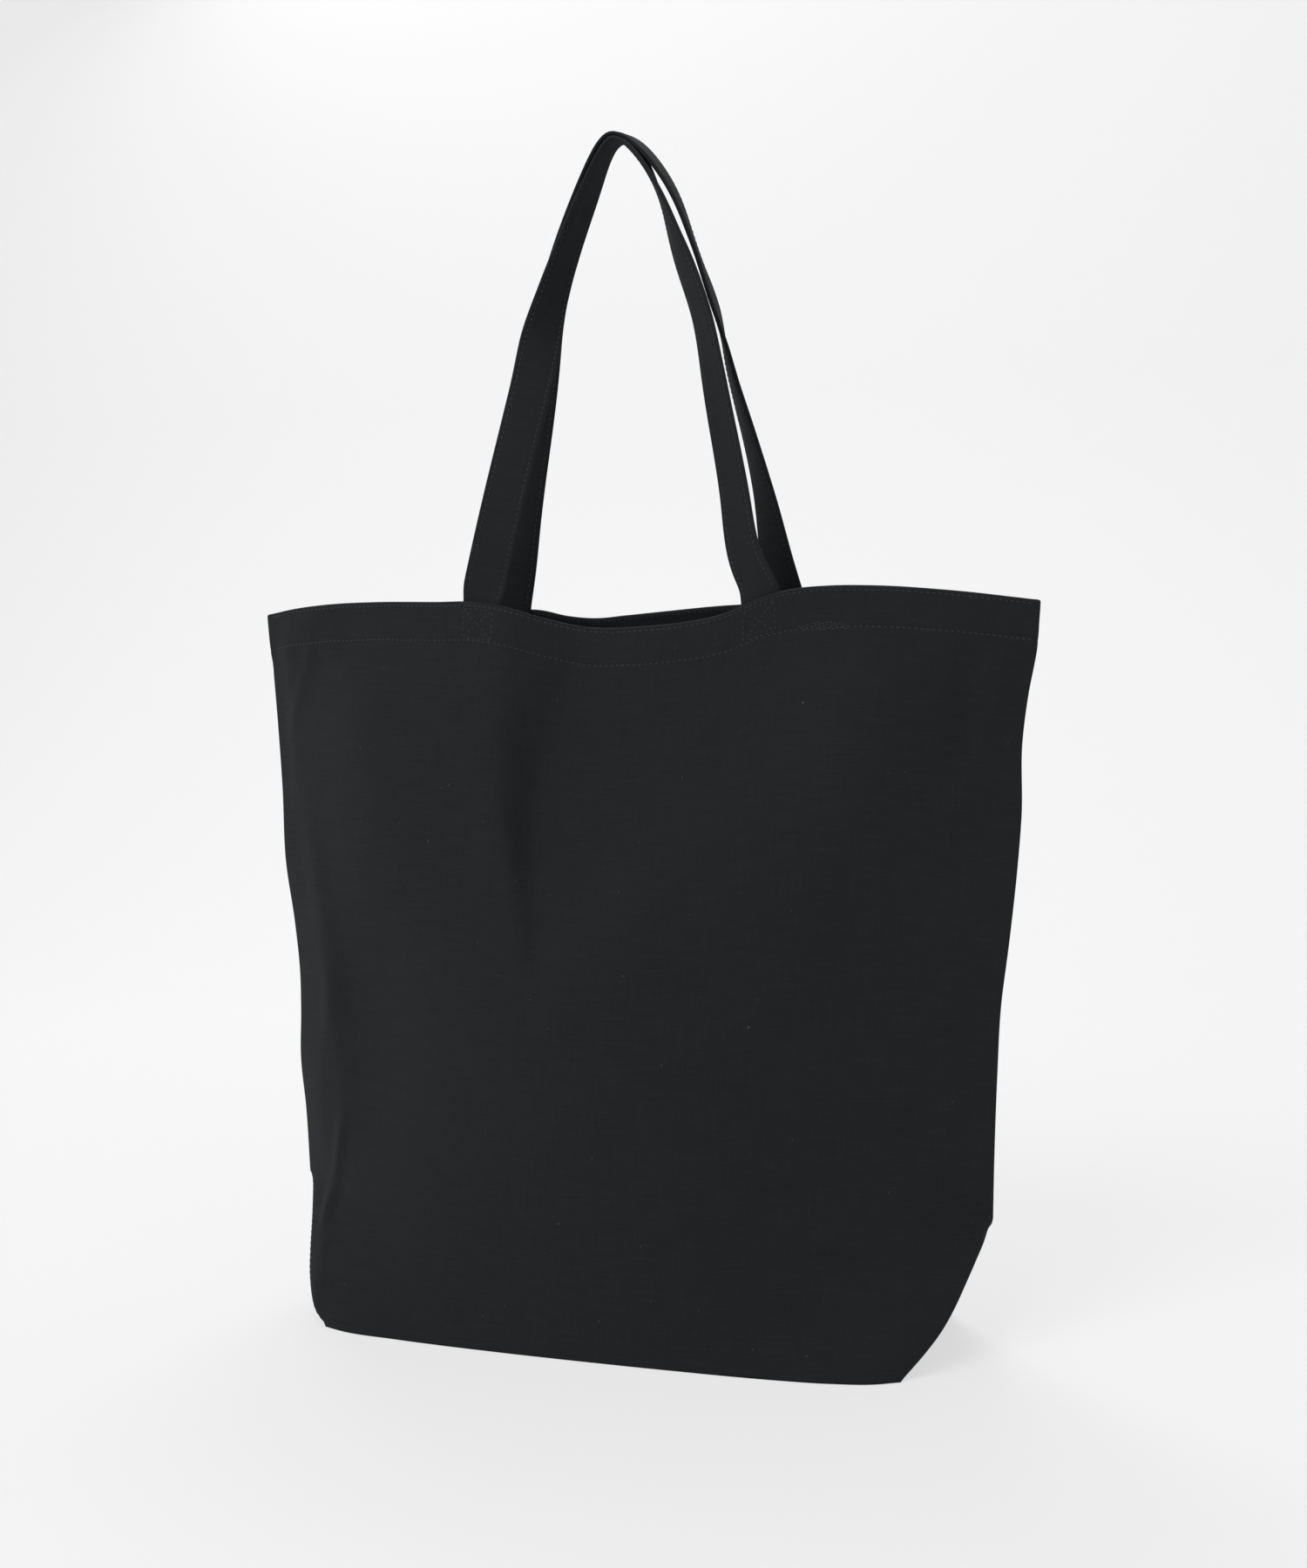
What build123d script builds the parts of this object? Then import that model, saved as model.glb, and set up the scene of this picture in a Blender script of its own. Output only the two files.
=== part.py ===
from build123d import *
from dataclasses import dataclass
from math import atan, cos, degrees, radians, sin, sqrt
import os

# Canvas tote bag with boxed corners, a folded hem and two strap handles.
# Millimetres. X is the width, the front faces -Y, Z is up, the floor is Z = 0.

# Bag body
FLAT_WIDTH = 500.0          # width laid flat, side seam to side seam
BASE_DEPTH = 150.0          # boxed bottom, front to back
HEIGHT = 430.0              # corners of the mouth above the floor
CANVAS = 1.0                # thickness of the cloth
KINK_HEIGHT = 75.0          # height where the gusset triangle ends on the side seam
KINK_DRAW_IN = 36.0         # how far each side seam stands inside the flat width there
MOUTH_DRAW_IN = 10.0        # the same at the mouth
KINK_LEAN = 3.0             # how far the side seam stands forward of the base centre
MOUTH_LEAN = 20.0           # the same at the mouth
SEAM_EDGE = 3.0             # blunt edge of the side seam, both panels together
SEAM_GAP = 0.3              # between the two panels along their seam

# Bulge of each panel, measured from the side seams
FULL_HEIGHT = 250.0         # height where the middle bulge is measured
FRONT_KINK_BULGE = 89.0
FRONT_FULL_BULGE = 81.0
FRONT_MOUTH_BULGE = 58.0
BACK_KINK_BULGE = 96.5
BACK_FULL_BULGE = 74.0
BACK_MOUTH_BULGE = 34.0
FRONT_BASE_BOW = 15.0       # lower front edge, swelling out between the corners
BACK_BASE_BOW = 9.0

# Recess where the upper part of each panel falls in between its handles
RECESS_LOW = 225.0          # height where it starts
FRONT_RECESS = 22.0         # depth at the mouth
FRONT_RECESS_LEFT = -38.0   # middle of its left wall
FRONT_LEFT_WALL = 27.0      # half the breadth of that wall
FRONT_RECESS_RIGHT = 57.0   # middle of its right wall at the mouth
FRONT_RIGHT_WALL = 48.0
FRONT_RECESS_FAR = 130.0    # middle of its right wall where it reaches furthest
RECESS_FAR_HEIGHT = 350.0
BACK_RECESS = 9.0
BACK_RECESS_RIGHT = 62.0    # middle of each wall, left and right alike
BACK_WALL = 52.0

# Rim line of each panel, above or below the mouth corners
FRONT_RIM_RISE = 4.0        # crests of the rim, outside the handles
FRONT_RIM_DIP = 11.0        # where the rim falls away, inside the handles
FRONT_RIM_SAG = 18.0        # middle of the rim
BACK_RIM_RISE = 1.0
BACK_RIM_DIP = 2.0
BACK_RIM_SAG = 4.0
CREST_AT = 150.0            # distance of the crests from the middle
DIP_AT = 45.0               # distance of the falling part from the middle
RIM_TRIM = 10.0             # cloth above the rim line that is cut away

# Hem
HEM_DEPTH = 25.0
FACING_THICKNESS = 2.0      # cloth turned in twice
FACING_END = 16.0           # facing stops this far from the side seam
LAYER_GAP = 0.3             # between layers of cloth

# Handles
STRAP_WIDTH = 25.0
STRAP_THICKNESS = 3.0
HANDLE_HALF_SPREAD = 85.0   # middle of the bag to the middle of a strap end
HANDLE_RISE = 270.0         # top of the arch above its ends
SHOULDER_RISE = 140.0
SHOULDER_HALF_SPREAD = 56.0
NECK_RISE = 235.0
NECK_HALF_SPREAD = 26.0
HANDLE_MEET = 28.0          # where the two handles meet, forward of the base centre
HANDLE_APART = 3.0          # between the two handles where they meet
TWIST_START = 0.12          # share of the rise where the strap begins to turn
TWIST_END = 0.93            # and where it lies flat across the hand
STRAP_SECTIONS = 33
FOLD_CLEARANCE = 0.6        # between a sewn end and the free arch above it
FOLD_OUT = 5.0              # fold line of a handle, outside the face of the hem
FOLD_UP = 2.5               # and above the rim

# Thread
THREAD = 0.6
THREAD_PROUD = 0.4
THREAD_GAP = 0.05
UPPER_ROW = 2.0             # upper stitch row, below the rim
LOWER_ROW = 23.0            # lower stitch row, below the rim
BOX_INSET = 3.0             # box stitch, inside the edge of the strap
BOX_TOP = 5.5               # box stitch, below the rim
BOX_HEIGHT = 14.5
EDGE_INSET = 3.0            # edge stitch, inside the edge of the strap
BACKTACK_LENGTH = 22.0
BACKTACK_FROM_HANDLE = 26.0
BACKTACK_DROP = 1.6         # backtack, above the lower row

# Bound seams inside
BINDING_WIDTH = 10.0
BINDING_THICKNESS = 2.4
SIDE_BINDING_INSET = 4.2    # seam edge to the binding
FLOOR_BINDING_GAP = 0.3     # bottom cloth to the bindings that lie on it
BINDING_END = 2.0           # between two bindings that meet, and below the hem
GUSSET_END = 8.0            # gusset binding to the corner of the base

# Sections that the cloth is lofted through
PLAIN_SHARES = (0.0, 0.5, 1.0)
RECESS_SHARES = (0.0, 0.25, 0.5, 0.75, 1.0)
WIDTH_STEPS = 12            # points of a section, on each side of its middle
EDGE_STEPS = 4              # points from one end to the other of each of its edges
SLOPE_STEP = 0.5

BASE_WIDTH = FLAT_WIDTH - BASE_DEPTH
BASE_HALF = BASE_WIDTH / 2
FACING_AT = CANVAS + LAYER_GAP
STRAP_AT = FACING_AT + FACING_THICKNESS + LAYER_GAP
TOP = HEIGHT + RIM_TRIM
HEM_LOW = HEIGHT - 2 * HEM_DEPTH
GUSSET_MIDDLE = BASE_HALF - CANVAS - LAYER_GAP - BINDING_WIDTH / 2
BOTTOM_RUN = 2 * (GUSSET_MIDDLE - BINDING_WIDTH / 2 - BINDING_END)
GUSSET_RUN = BASE_DEPTH - 2 * GUSSET_END
BINDING_LOW = CANVAS + FLOOR_BINDING_GAP
THREAD_LOW = BINDING_LOW + BINDING_THICKNESS + THREAD_GAP
WIDE = 2 * FLAT_WIDTH
FRONT = -1
BACK = 1


@dataclass
class Level:
    z: float
    half_width: float
    seam_y: float
    side: float
    bulge: float


def on_side_seam(z):
    """Half width and place of the side seam at height z, above the gusset."""
    share = (z - KINK_HEIGHT) / (HEIGHT - KINK_HEIGHT)
    half = FLAT_WIDTH / 2 - KINK_DRAW_IN + share * (KINK_DRAW_IN - MOUTH_DRAW_IN)
    seam_y = -KINK_LEAN - share * (MOUTH_LEAN - KINK_LEAN)
    return half, seam_y


def smooth_step(low, high, value):
    share = min(max((value - low) / (high - low), 0.0), 1.0)
    return share * share * (3 - 2 * share)


def bulge_at(facing, z):
    """Bulge of a panel at height z: a smooth curve through its three sizes."""
    if facing == FRONT:
        sizes = [FRONT_KINK_BULGE, FRONT_FULL_BULGE, FRONT_MOUTH_BULGE]
    else:
        sizes = [BACK_KINK_BULGE, BACK_FULL_BULGE, BACK_MOUTH_BULGE]
    heights = [KINK_HEIGHT, FULL_HEIGHT, TOP]
    total = 0.0
    for index, size in enumerate(sizes):
        weight = 1.0
        for other, height in enumerate(heights):
            if other != index:
                weight *= (z - height) / (heights[index] - height)
        total += weight * size
    return total


def level_at(facing, z):
    half, seam_y = on_side_seam(z)
    return Level(z, half, seam_y, SEAM_EDGE / 2, bulge_at(facing, z))


def base_level(facing):
    bow = FRONT_BASE_BOW if facing == FRONT else BACK_BASE_BOW
    return Level(0.0, BASE_HALF, 0.0, BASE_DEPTH / 2, BASE_DEPTH / 2 + bow)


def recess(facing, x, z):
    """How far a panel falls in between its handles."""
    share = smooth_step(RECESS_LOW, TOP, z)
    if facing == BACK:
        inside = 1 - smooth_step(BACK_RECESS_RIGHT - BACK_WALL, BACK_RECESS_RIGHT + BACK_WALL, abs(x))
        return BACK_RECESS * share * inside
    drawn = (z - RECESS_FAR_HEIGHT) / (TOP - RECESS_FAR_HEIGHT)
    left = FRONT_RECESS_LEFT
    right = FRONT_RECESS_FAR - (FRONT_RECESS_FAR - FRONT_RECESS_RIGHT) * drawn * drawn
    inside = smooth_step(left - FRONT_LEFT_WALL, left + FRONT_LEFT_WALL, x)
    inside *= 1 - smooth_step(right - FRONT_RIGHT_WALL, right + FRONT_RIGHT_WALL, x)
    return FRONT_RECESS * share * inside


def face_out(level, facing, x):
    """Distance of the outer face from the seam plane at x."""
    rise = level.bulge - level.side
    radius = (level.half_width * level.half_width + rise * rise) / (2 * rise)
    return level.bulge - radius + sqrt(radius * radius - x * x) - recess(facing, x, level.z)


def face_slope(level, facing, x):
    """How the outer face rises along x."""
    low = max(x - SLOPE_STEP, -level.half_width)
    high = min(x + SLOPE_STEP, level.half_width)
    return (face_out(level, facing, high) - face_out(level, facing, low)) / (high - low)


def spot(level, facing, x, out):
    return Vector(x, level.seam_y + facing * out, level.z)


def cloth_spot(level, facing, x, depth):
    """Point a depth inside the outer face, square to it."""
    slope = face_slope(level, facing, x)
    length = sqrt(1 + slope * slope)
    return spot(level, facing, x + depth * slope / length, face_out(level, facing, x) - depth / length)


def seam_spot(level, facing, side, depth):
    """Mitred corner of the cloth at a side seam, a depth inside."""
    lean = atan(-side * face_slope(level, facing, side * level.half_width))
    out = level.side - depth * (1 - sin(lean)) / cos(lean)
    return spot(level, facing, side * (level.half_width - depth), out)


def cloth_edges(level, facing, depth):
    """Line of the cloth from the left side seam to the right one, as edges that run on smoothly."""
    points = [seam_spot(level, facing, -1, depth)]
    for index in range(1 - WIDTH_STEPS, WIDTH_STEPS):
        points.append(cloth_spot(level, facing, level.half_width * index / WIDTH_STEPS, depth))
    points.append(seam_spot(level, facing, 1, depth))
    last = len(points) - 1
    shares = [step / EDGE_STEPS for step in range(EDGE_STEPS + 1)]
    edges = []
    for start in range(0, last, EDGE_STEPS):
        stop = start + EDGE_STEPS
        ways = [points[min(at + 1, last)] - points[max(at - 1, 0)] for at in (start, stop)]
        edges.append(Edge.make_spline(points[start : stop + 1], tangents=ways, parameters=shares))
    return edges


def ring(edges):
    return Face(Wire(edges))


def wall_section(level, facing):
    """Section of a panel from one side seam round to the other."""
    outer = cloth_edges(level, facing, 0.0)
    inner = cloth_edges(level, facing, CANVAS)
    gap = SEAM_GAP / 2
    outer_left = spot(level, facing, -level.half_width, gap)
    outer_right = spot(level, facing, level.half_width, gap)
    inner_left = spot(level, facing, CANVAS - level.half_width, gap)
    inner_right = spot(level, facing, level.half_width - CANVAS, gap)
    right_end = [
        Edge.make_line(outer[-1] @ 1, outer_right),
        Edge.make_line(outer_right, inner_right),
        Edge.make_line(inner_right, inner[-1] @ 1),
    ]
    left_end = [
        Edge.make_line(inner[0] @ 0, inner_left),
        Edge.make_line(inner_left, outer_left),
        Edge.make_line(outer_left, outer[0] @ 0),
    ]
    return ring(outer + right_end + inner[::-1] + left_end)


def layer_section(level, facing, shallow, deep):
    """Section of a layer of cloth or thread between two depths."""
    near = cloth_edges(level, facing, shallow)
    far = cloth_edges(level, facing, deep)
    right_end = [Edge.make_line(near[-1] @ 1, far[-1] @ 1)]
    left_end = [Edge.make_line(far[0] @ 0, near[0] @ 0)]
    return ring(near + right_end + far[::-1] + left_end)


def levels_between(facing, low, high, shares):
    return [level_at(facing, low + share * (high - low)) for share in shares]


def hem_levels(facing):
    return levels_between(facing, HEM_LOW, TOP, PLAIN_SHARES)


def layer(facing, shallow, deep):
    sections = [layer_section(level, facing, shallow, deep) for level in hem_levels(facing)]
    return loft(sections)


def rim_points(facing):
    if facing == FRONT:
        rise, dip, sag = FRONT_RIM_RISE, FRONT_RIM_DIP, FRONT_RIM_SAG
    else:
        rise, dip, sag = BACK_RIM_RISE, BACK_RIM_DIP, BACK_RIM_SAG
    right = [
        (DIP_AT, HEIGHT - dip),
        (HANDLE_HALF_SPREAD, HEIGHT),
        (CREST_AT, HEIGHT + rise),
        (FLAT_WIDTH / 2, HEIGHT),
    ]
    left = [(-x, z) for x, z in reversed(right)]
    return left + [(0.0, HEIGHT - sag)] + right


def rim_edge(facing, drop):
    points = [Vector(x, 0, z - drop) for x, z in rim_points(facing)]
    return Edge.make_spline(points)


def rim_height(facing, x):
    """Height of the rim line at x."""
    edge = rim_edge(facing, 0.0)
    low, high = 0.0, 1.0
    for _ in range(40):
        middle = (low + high) / 2
        if (edge @ middle).X < x:
            low = middle
        else:
            high = middle
    return (edge @ low).Z


def through(face):
    """A face in the XZ plane carried through the whole depth of the bag."""
    return extrude(face, amount=WIDE, dir=(0, 1, 0), both=True)


def rim_band(facing, top_drop, low_drop):
    """All space between two copies of the rim line."""
    upper = rim_edge(facing, top_drop)
    lower = rim_edge(facing, low_drop)
    edges = [
        upper,
        Edge.make_line(upper @ 1, lower @ 1),
        lower,
        Edge.make_line(lower @ 0, upper @ 0),
    ]
    return through(ring(edges))


def flat_box(x_low, x_high, z_low, z_high):
    """All space between two widths and two heights."""
    corners = [(x_low, z_low), (x_high, z_low), (x_high, z_high), (x_low, z_high)]
    points = [Vector(x, 0, z) for x, z in corners]
    return through(Face(Wire.make_polygon(points, close=True)))


def strip_between(start, finish, width):
    """All space along a straight run of thread seen from the front."""
    run_x, run_z = finish[0] - start[0], finish[1] - start[1]
    length = sqrt(run_x * run_x + run_z * run_z)
    across_x, across_z = -run_z / length * width / 2, run_x / length * width / 2
    corners = [
        (start[0] + across_x, start[1] + across_z),
        (finish[0] + across_x, finish[1] + across_z),
        (finish[0] - across_x, finish[1] - across_z),
        (start[0] - across_x, start[1] - across_z),
    ]
    points = [Vector(x, 0, z) for x, z in corners]
    return through(Face(Wire.make_polygon(points, close=True)))


def bottom(facing):
    level = base_level(facing)
    front = cloth_edges(level, facing, 0.0)
    left = spot(level, facing, -BASE_HALF, SEAM_GAP / 2)
    right = spot(level, facing, BASE_HALF, SEAM_GAP / 2)
    sides = [
        Edge.make_line(front[-1] @ 1, right),
        Edge.make_line(right, left),
        Edge.make_line(left, front[0] @ 0),
    ]
    return extrude(ring(front + sides), amount=CANVAS, dir=(0, 0, 1))


def wall(facing, levels, ruled=False):
    return loft([wall_section(level, facing) for level in levels], ruled=ruled)


def panel(facing):
    lower = levels_between(facing, KINK_HEIGHT, RECESS_LOW, PLAIN_SHARES)
    upper = levels_between(facing, RECESS_LOW, HEM_LOW, RECESS_SHARES)
    foot = wall(facing, [base_level(facing), lower[0]], ruled=True)
    cloth = foot + wall(facing, lower) + wall(facing, upper) + wall(facing, hem_levels(facing))
    waste = rim_band(facing, -HEIGHT, 0.0)
    return cloth + bottom(facing) - waste


def hem_facing(facing):
    cloth = layer(facing, FACING_AT, FACING_AT + FACING_THICKNESS)
    half = on_side_seam(HEIGHT)[0] - FACING_END
    between = flat_box(-half, half, 0.0, TOP)
    return cloth & rim_band(facing, 0.0, HEM_DEPTH) & between


def handle_ends(facing):
    cloth = layer(facing, STRAP_AT, STRAP_AT + STRAP_THICKNESS)
    band = cloth & rim_band(facing, 0.0, HEM_DEPTH)
    ends = Part()
    for side in (-1, 1):
        middle = side * HANDLE_HALF_SPREAD
        half = STRAP_WIDTH / 2
        ends += band & flat_box(middle - half, middle + half, 0.0, TOP)
    return ends


def thread_layer(facing):
    return layer(facing, -THREAD_GAP - THREAD_PROUD, -THREAD_GAP)


def hem_row(facing, drop):
    half = on_side_seam(HEIGHT)[0] - SEAM_EDGE
    between = flat_box(-half, half, 0.0, TOP)
    return thread_layer(facing) & rim_band(facing, drop, drop + THREAD) & between


def box_stitches(facing):
    thread = thread_layer(facing)
    rows = Part()
    for side in (-1, 1):
        middle = side * HANDLE_HALF_SPREAD
        half = STRAP_WIDTH / 2 - BOX_INSET
        top = rim_height(facing, middle) - BOX_TOP
        low = top - BOX_HEIGHT
        corners = [
            (middle - half, top),
            (middle + half, top),
            (middle + half, low),
            (middle - half, low),
        ]
        outline = flat_box(middle - half, middle + half, low, top)
        hollow = flat_box(middle - half + THREAD, middle + half - THREAD, low + THREAD, top - THREAD)
        first = strip_between(corners[0], corners[2], THREAD)
        second = strip_between(corners[1], corners[3], THREAD)
        cross = (first + second) & outline
        rows += thread & (outline - hollow + cross)
    return rows


def backtack():
    start = HANDLE_HALF_SPREAD + BACKTACK_FROM_HANDLE
    run = flat_box(start, start + BACKTACK_LENGTH, 0.0, TOP)
    drop = LOWER_ROW - BACKTACK_DROP
    return thread_layer(FRONT) & rim_band(FRONT, drop, drop + THREAD) & run


def hem_lean(facing, side):
    """Angle that the hem turns to the right where a handle is sewn on."""
    return -atan(face_slope(level_at(facing, HEIGHT), facing, side * HANDLE_HALF_SPREAD))


def strap_foot(facing, side):
    """Place of the middle of the strap where it leaves the hem."""
    level = level_at(facing, HEIGHT)
    x = side * HANDLE_HALF_SPREAD
    depth = (STRAP_AT + STRAP_THICKNESS / 2) / cos(hem_lean(facing, side))
    half = STRAP_WIDTH / 2
    z = max(rim_height(facing, edge) for edge in (x - half, x, x + half)) + FOLD_CLEARANCE
    return spot(level, facing, x, face_out(level, facing, x) - depth), z


def fold_point(facing, side):
    """Point of the line that a handle folds along, outside the hem and above the rim."""
    level = level_at(facing, HEIGHT)
    x = side * HANDLE_HALF_SPREAD
    place = spot(level, facing, x, face_out(level, facing, x) + FOLD_OUT)
    return Vector(place.X, place.Y, rim_height(facing, x) + FOLD_UP)


def strap_path(facing):
    apex_y = -HANDLE_MEET + facing * (STRAP_WIDTH + HANDLE_APART) / 2
    marks = [
        (-HANDLE_HALF_SPREAD, 0.0),
        (-SHOULDER_HALF_SPREAD, SHOULDER_RISE),
        (-NECK_HALF_SPREAD, NECK_RISE),
        (0.0, HANDLE_RISE),
        (NECK_HALF_SPREAD, NECK_RISE),
        (SHOULDER_HALF_SPREAD, SHOULDER_RISE),
        (HANDLE_HALF_SPREAD, 0.0),
    ]
    points = []
    for x, rise in marks:
        foot, foot_z = strap_foot(facing, -1 if x < 0 else 1)
        share = rise / HANDLE_RISE
        points.append(Vector(x, foot.Y + share * (apex_y - foot.Y), foot_z + rise))
    return Edge.make_spline(points)


def strap_planes(facing):
    """Planes across the strap: X along its width, Y out of its outer face.

    The outer face of the back strap turns up towards the top, that of the front strap turns down.
    """
    path = strap_path(facing)
    planes = []
    for index in range(STRAP_SECTIONS):
        share = index / (STRAP_SECTIONS - 1)
        side = -1 if share < 0.5 else 1
        place = path @ share
        along = path % share
        if index in (0, STRAP_SECTIONS - 1):
            along = Vector(0, 0, -side)
        rise = (place.Z - strap_foot(facing, side)[1]) / HANDLE_RISE
        turn = facing * smooth_step(TWIST_START, TWIST_END, rise) * radians(90)
        lean = hem_lean(facing, side) * (1 - smooth_step(0.0, TWIST_END, rise))
        outward = Vector(sin(lean), facing * cos(lean), 0)
        outward = (outward - along * outward.dot(along)).normalized()
        upward = outward.cross(along) * (-facing)
        normal = outward * cos(turn) + upward * sin(turn)
        planes.append(Plane(origin=place, x_dir=normal.cross(along), z_dir=along))
    return planes


def strap_body(facing, across, out, width, thickness):
    """Loft along each half of the strap of a small rectangle set off from its middle line."""
    sections = []
    for plane in strap_planes(facing):
        sections.append(plane * Pos(across, out, 0) * Rectangle(width, thickness))
    top = STRAP_SECTIONS // 2
    return loft(sections[: top + 1], ruled=True) + loft(sections[top:], ruled=True)


def handle(facing):
    return strap_body(facing, 0.0, 0.0, STRAP_WIDTH, STRAP_THICKNESS)


def edge_stitches(facing):
    rows = []
    across = STRAP_WIDTH / 2 - EDGE_INSET
    out = STRAP_THICKNESS / 2 + THREAD_GAP + THREAD_PROUD / 2
    for side in (-1, 1):
        for face in (-1, 1):
            rows.append(strap_body(facing, side * across, face * out, THREAD, THREAD_PROUD))
    return Compound(children=rows)


def seam_strip(side, inset, width, thickness, top):
    """Straight strip inside a side seam, from the base up."""
    low = THREAD_LOW + THREAD + LAYER_GAP
    low_half = BASE_HALF + (on_side_seam(KINK_HEIGHT)[0] - BASE_HALF) * low / KINK_HEIGHT
    stops = [(low, (low_half, -KINK_LEAN * low / KINK_HEIGHT))]
    stops.append((KINK_HEIGHT, on_side_seam(KINK_HEIGHT)))
    stops.append((top, on_side_seam(top)))
    sections = []
    for z, (half, seam_y) in stops:
        middle = side * (half - inset - width / 2)
        sections.append(Plane(origin=(middle, seam_y, z)) * Rectangle(width, thickness))
    return loft(sections, ruled=True)


def side_binding(side):
    top = HEIGHT - HEM_DEPTH - BINDING_END
    return seam_strip(side, SIDE_BINDING_INSET, BINDING_WIDTH, BINDING_THICKNESS, top)


def side_thread(side):
    top = HEIGHT - HEM_DEPTH - BINDING_END
    inset = SIDE_BINDING_INSET - THREAD_GAP - THREAD
    return seam_strip(side, inset, THREAD, THREAD, top)


def floor_strip(length, width, height, x, low, turned):
    """Strip lying on the bottom, along X or turned to lie along Y."""
    size = Box(width, length, height) if turned else Box(length, width, height)
    return Pos(x, 0, low + height / 2) * size


def gusset_binding(side):
    x = side * GUSSET_MIDDLE
    return floor_strip(GUSSET_RUN, BINDING_WIDTH, BINDING_THICKNESS, x, BINDING_LOW, True)


def gusset_thread(side):
    x = side * GUSSET_MIDDLE
    return floor_strip(GUSSET_RUN, THREAD, THREAD, x, THREAD_LOW, True)


bottom_binding = floor_strip(BOTTOM_RUN, BINDING_WIDTH, BINDING_THICKNESS, 0, BINDING_LOW, False)
bottom_thread = floor_strip(BOTTOM_RUN, THREAD, THREAD, 0, THREAD_LOW, False)

pieces = {
    "front_panel": panel(FRONT),
    "back_panel": panel(BACK),
    "front_hem_facing": hem_facing(FRONT),
    "back_hem_facing": hem_facing(BACK),
    "front_handle": handle(FRONT),
    "back_handle": handle(BACK),
    "front_handle_ends": handle_ends(FRONT),
    "back_handle_ends": handle_ends(BACK),
    "front_hem_upper_stitch": hem_row(FRONT, UPPER_ROW),
    "front_hem_lower_stitch": hem_row(FRONT, LOWER_ROW),
    "back_hem_upper_stitch": hem_row(BACK, UPPER_ROW),
    "back_hem_lower_stitch": hem_row(BACK, LOWER_ROW),
    "front_handle_box_stitches": box_stitches(FRONT),
    "back_handle_box_stitches": box_stitches(BACK),
    "front_handle_edge_stitches": edge_stitches(FRONT),
    "back_handle_edge_stitches": edge_stitches(BACK),
    "left_seam_binding": side_binding(-1),
    "right_seam_binding": side_binding(1),
    "bottom_seam_binding": bottom_binding,
    "left_gusset_binding": gusset_binding(-1),
    "right_gusset_binding": gusset_binding(1),
    "side_seam_stitches": Compound(children=[side_thread(-1), side_thread(1)]),
    "bottom_seam_stitch": bottom_thread,
    "gusset_seam_stitches": Compound(children=[gusset_thread(-1), gusset_thread(1)]),
    "hem_backtack_stitch": backtack(),
}

os.makedirs("parts", exist_ok=True)
for name, shape in pieces.items():
    export_step(shape, f"parts/{name}.step")

for facing, name in ((FRONT, "front"), (BACK, "back")):
    for side in (-1, 1):
        print(name, "fold point", fold_point(facing, side), "strap foot", strap_foot(facing, side))
for name, shape in pieces.items():
    box = shape.bounding_box()
    print(name, len(shape.solids()), round(shape.volume, 1), box.min, box.max)
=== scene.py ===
import math

import bpy
import numpy as np
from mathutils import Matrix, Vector


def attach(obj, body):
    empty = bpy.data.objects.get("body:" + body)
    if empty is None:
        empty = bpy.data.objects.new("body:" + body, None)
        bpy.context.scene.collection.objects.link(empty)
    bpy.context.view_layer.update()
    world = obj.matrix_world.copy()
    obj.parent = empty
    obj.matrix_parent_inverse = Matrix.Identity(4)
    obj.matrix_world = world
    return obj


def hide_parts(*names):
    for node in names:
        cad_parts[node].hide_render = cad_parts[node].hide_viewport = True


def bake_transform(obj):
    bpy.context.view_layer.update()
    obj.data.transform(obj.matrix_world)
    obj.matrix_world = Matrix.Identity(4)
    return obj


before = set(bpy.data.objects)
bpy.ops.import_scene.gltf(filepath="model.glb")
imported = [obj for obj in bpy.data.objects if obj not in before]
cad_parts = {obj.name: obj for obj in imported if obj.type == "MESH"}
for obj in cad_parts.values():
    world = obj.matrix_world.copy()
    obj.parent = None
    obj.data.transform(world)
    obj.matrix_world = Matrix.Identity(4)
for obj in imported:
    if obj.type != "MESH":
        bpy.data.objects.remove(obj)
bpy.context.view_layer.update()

# Canvas tote bag. Lengths are in millimetres here and become metres when a mesh is made.
MM = 0.001
FRONT, BACK = -1, 1
LEFT, RIGHT = -1, 1

# Body: its main sizes are those of the CAD source
FLAT_HALF = 250.0
BASE_HALF = 175.0
BASE_HALF_DEPTH = 75.0
HEIGHT = 430.0
KINK = 75.0
KINK_HALF, MOUTH_HALF = 214.0, 240.0
KINK_LEAN, MOUTH_LEAN = 3.0, 20.0
CLOTH = 0.9
SEAM_SIDE, HEM_SIDE = 1.5, 3.0
SEAM_CLEAR = 0.12
HEM_STEP_BELOW, HEM_STEP_ABOVE = 8, 2
LEVELS = (0.0, 75.0, 250.0, 440.0)
BULGES = {FRONT: (89.0, 81.0, 58.0), BACK: (96.5, 74.0, 34.0)}

# Hem
HEM_DEPTH = 25.0
HEM_THICK = 3.3
UPPER_ROW, LOWER_ROW = 2.6, 22.6
BOX_TOP, BOX_LOW = 4.4, 21.4

# Straps
STRAP_THICK = 2.6
EDGE_ROW = 9.6
STRAP_GAP = 0.35
STITCH_PITCH, STITCH_LENGTH, STITCH_RADIUS = 3.4, 2.1, 0.27
BOX_RADIUS = 0.21


def ramp(low, high, value):
    """Smooth step from 0 at low to 1 at high."""
    share = np.clip((np.asarray(value, float) - low) / (high - low), 0.0, 1.0)
    return share * share * (3 - 2 * share)


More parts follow.
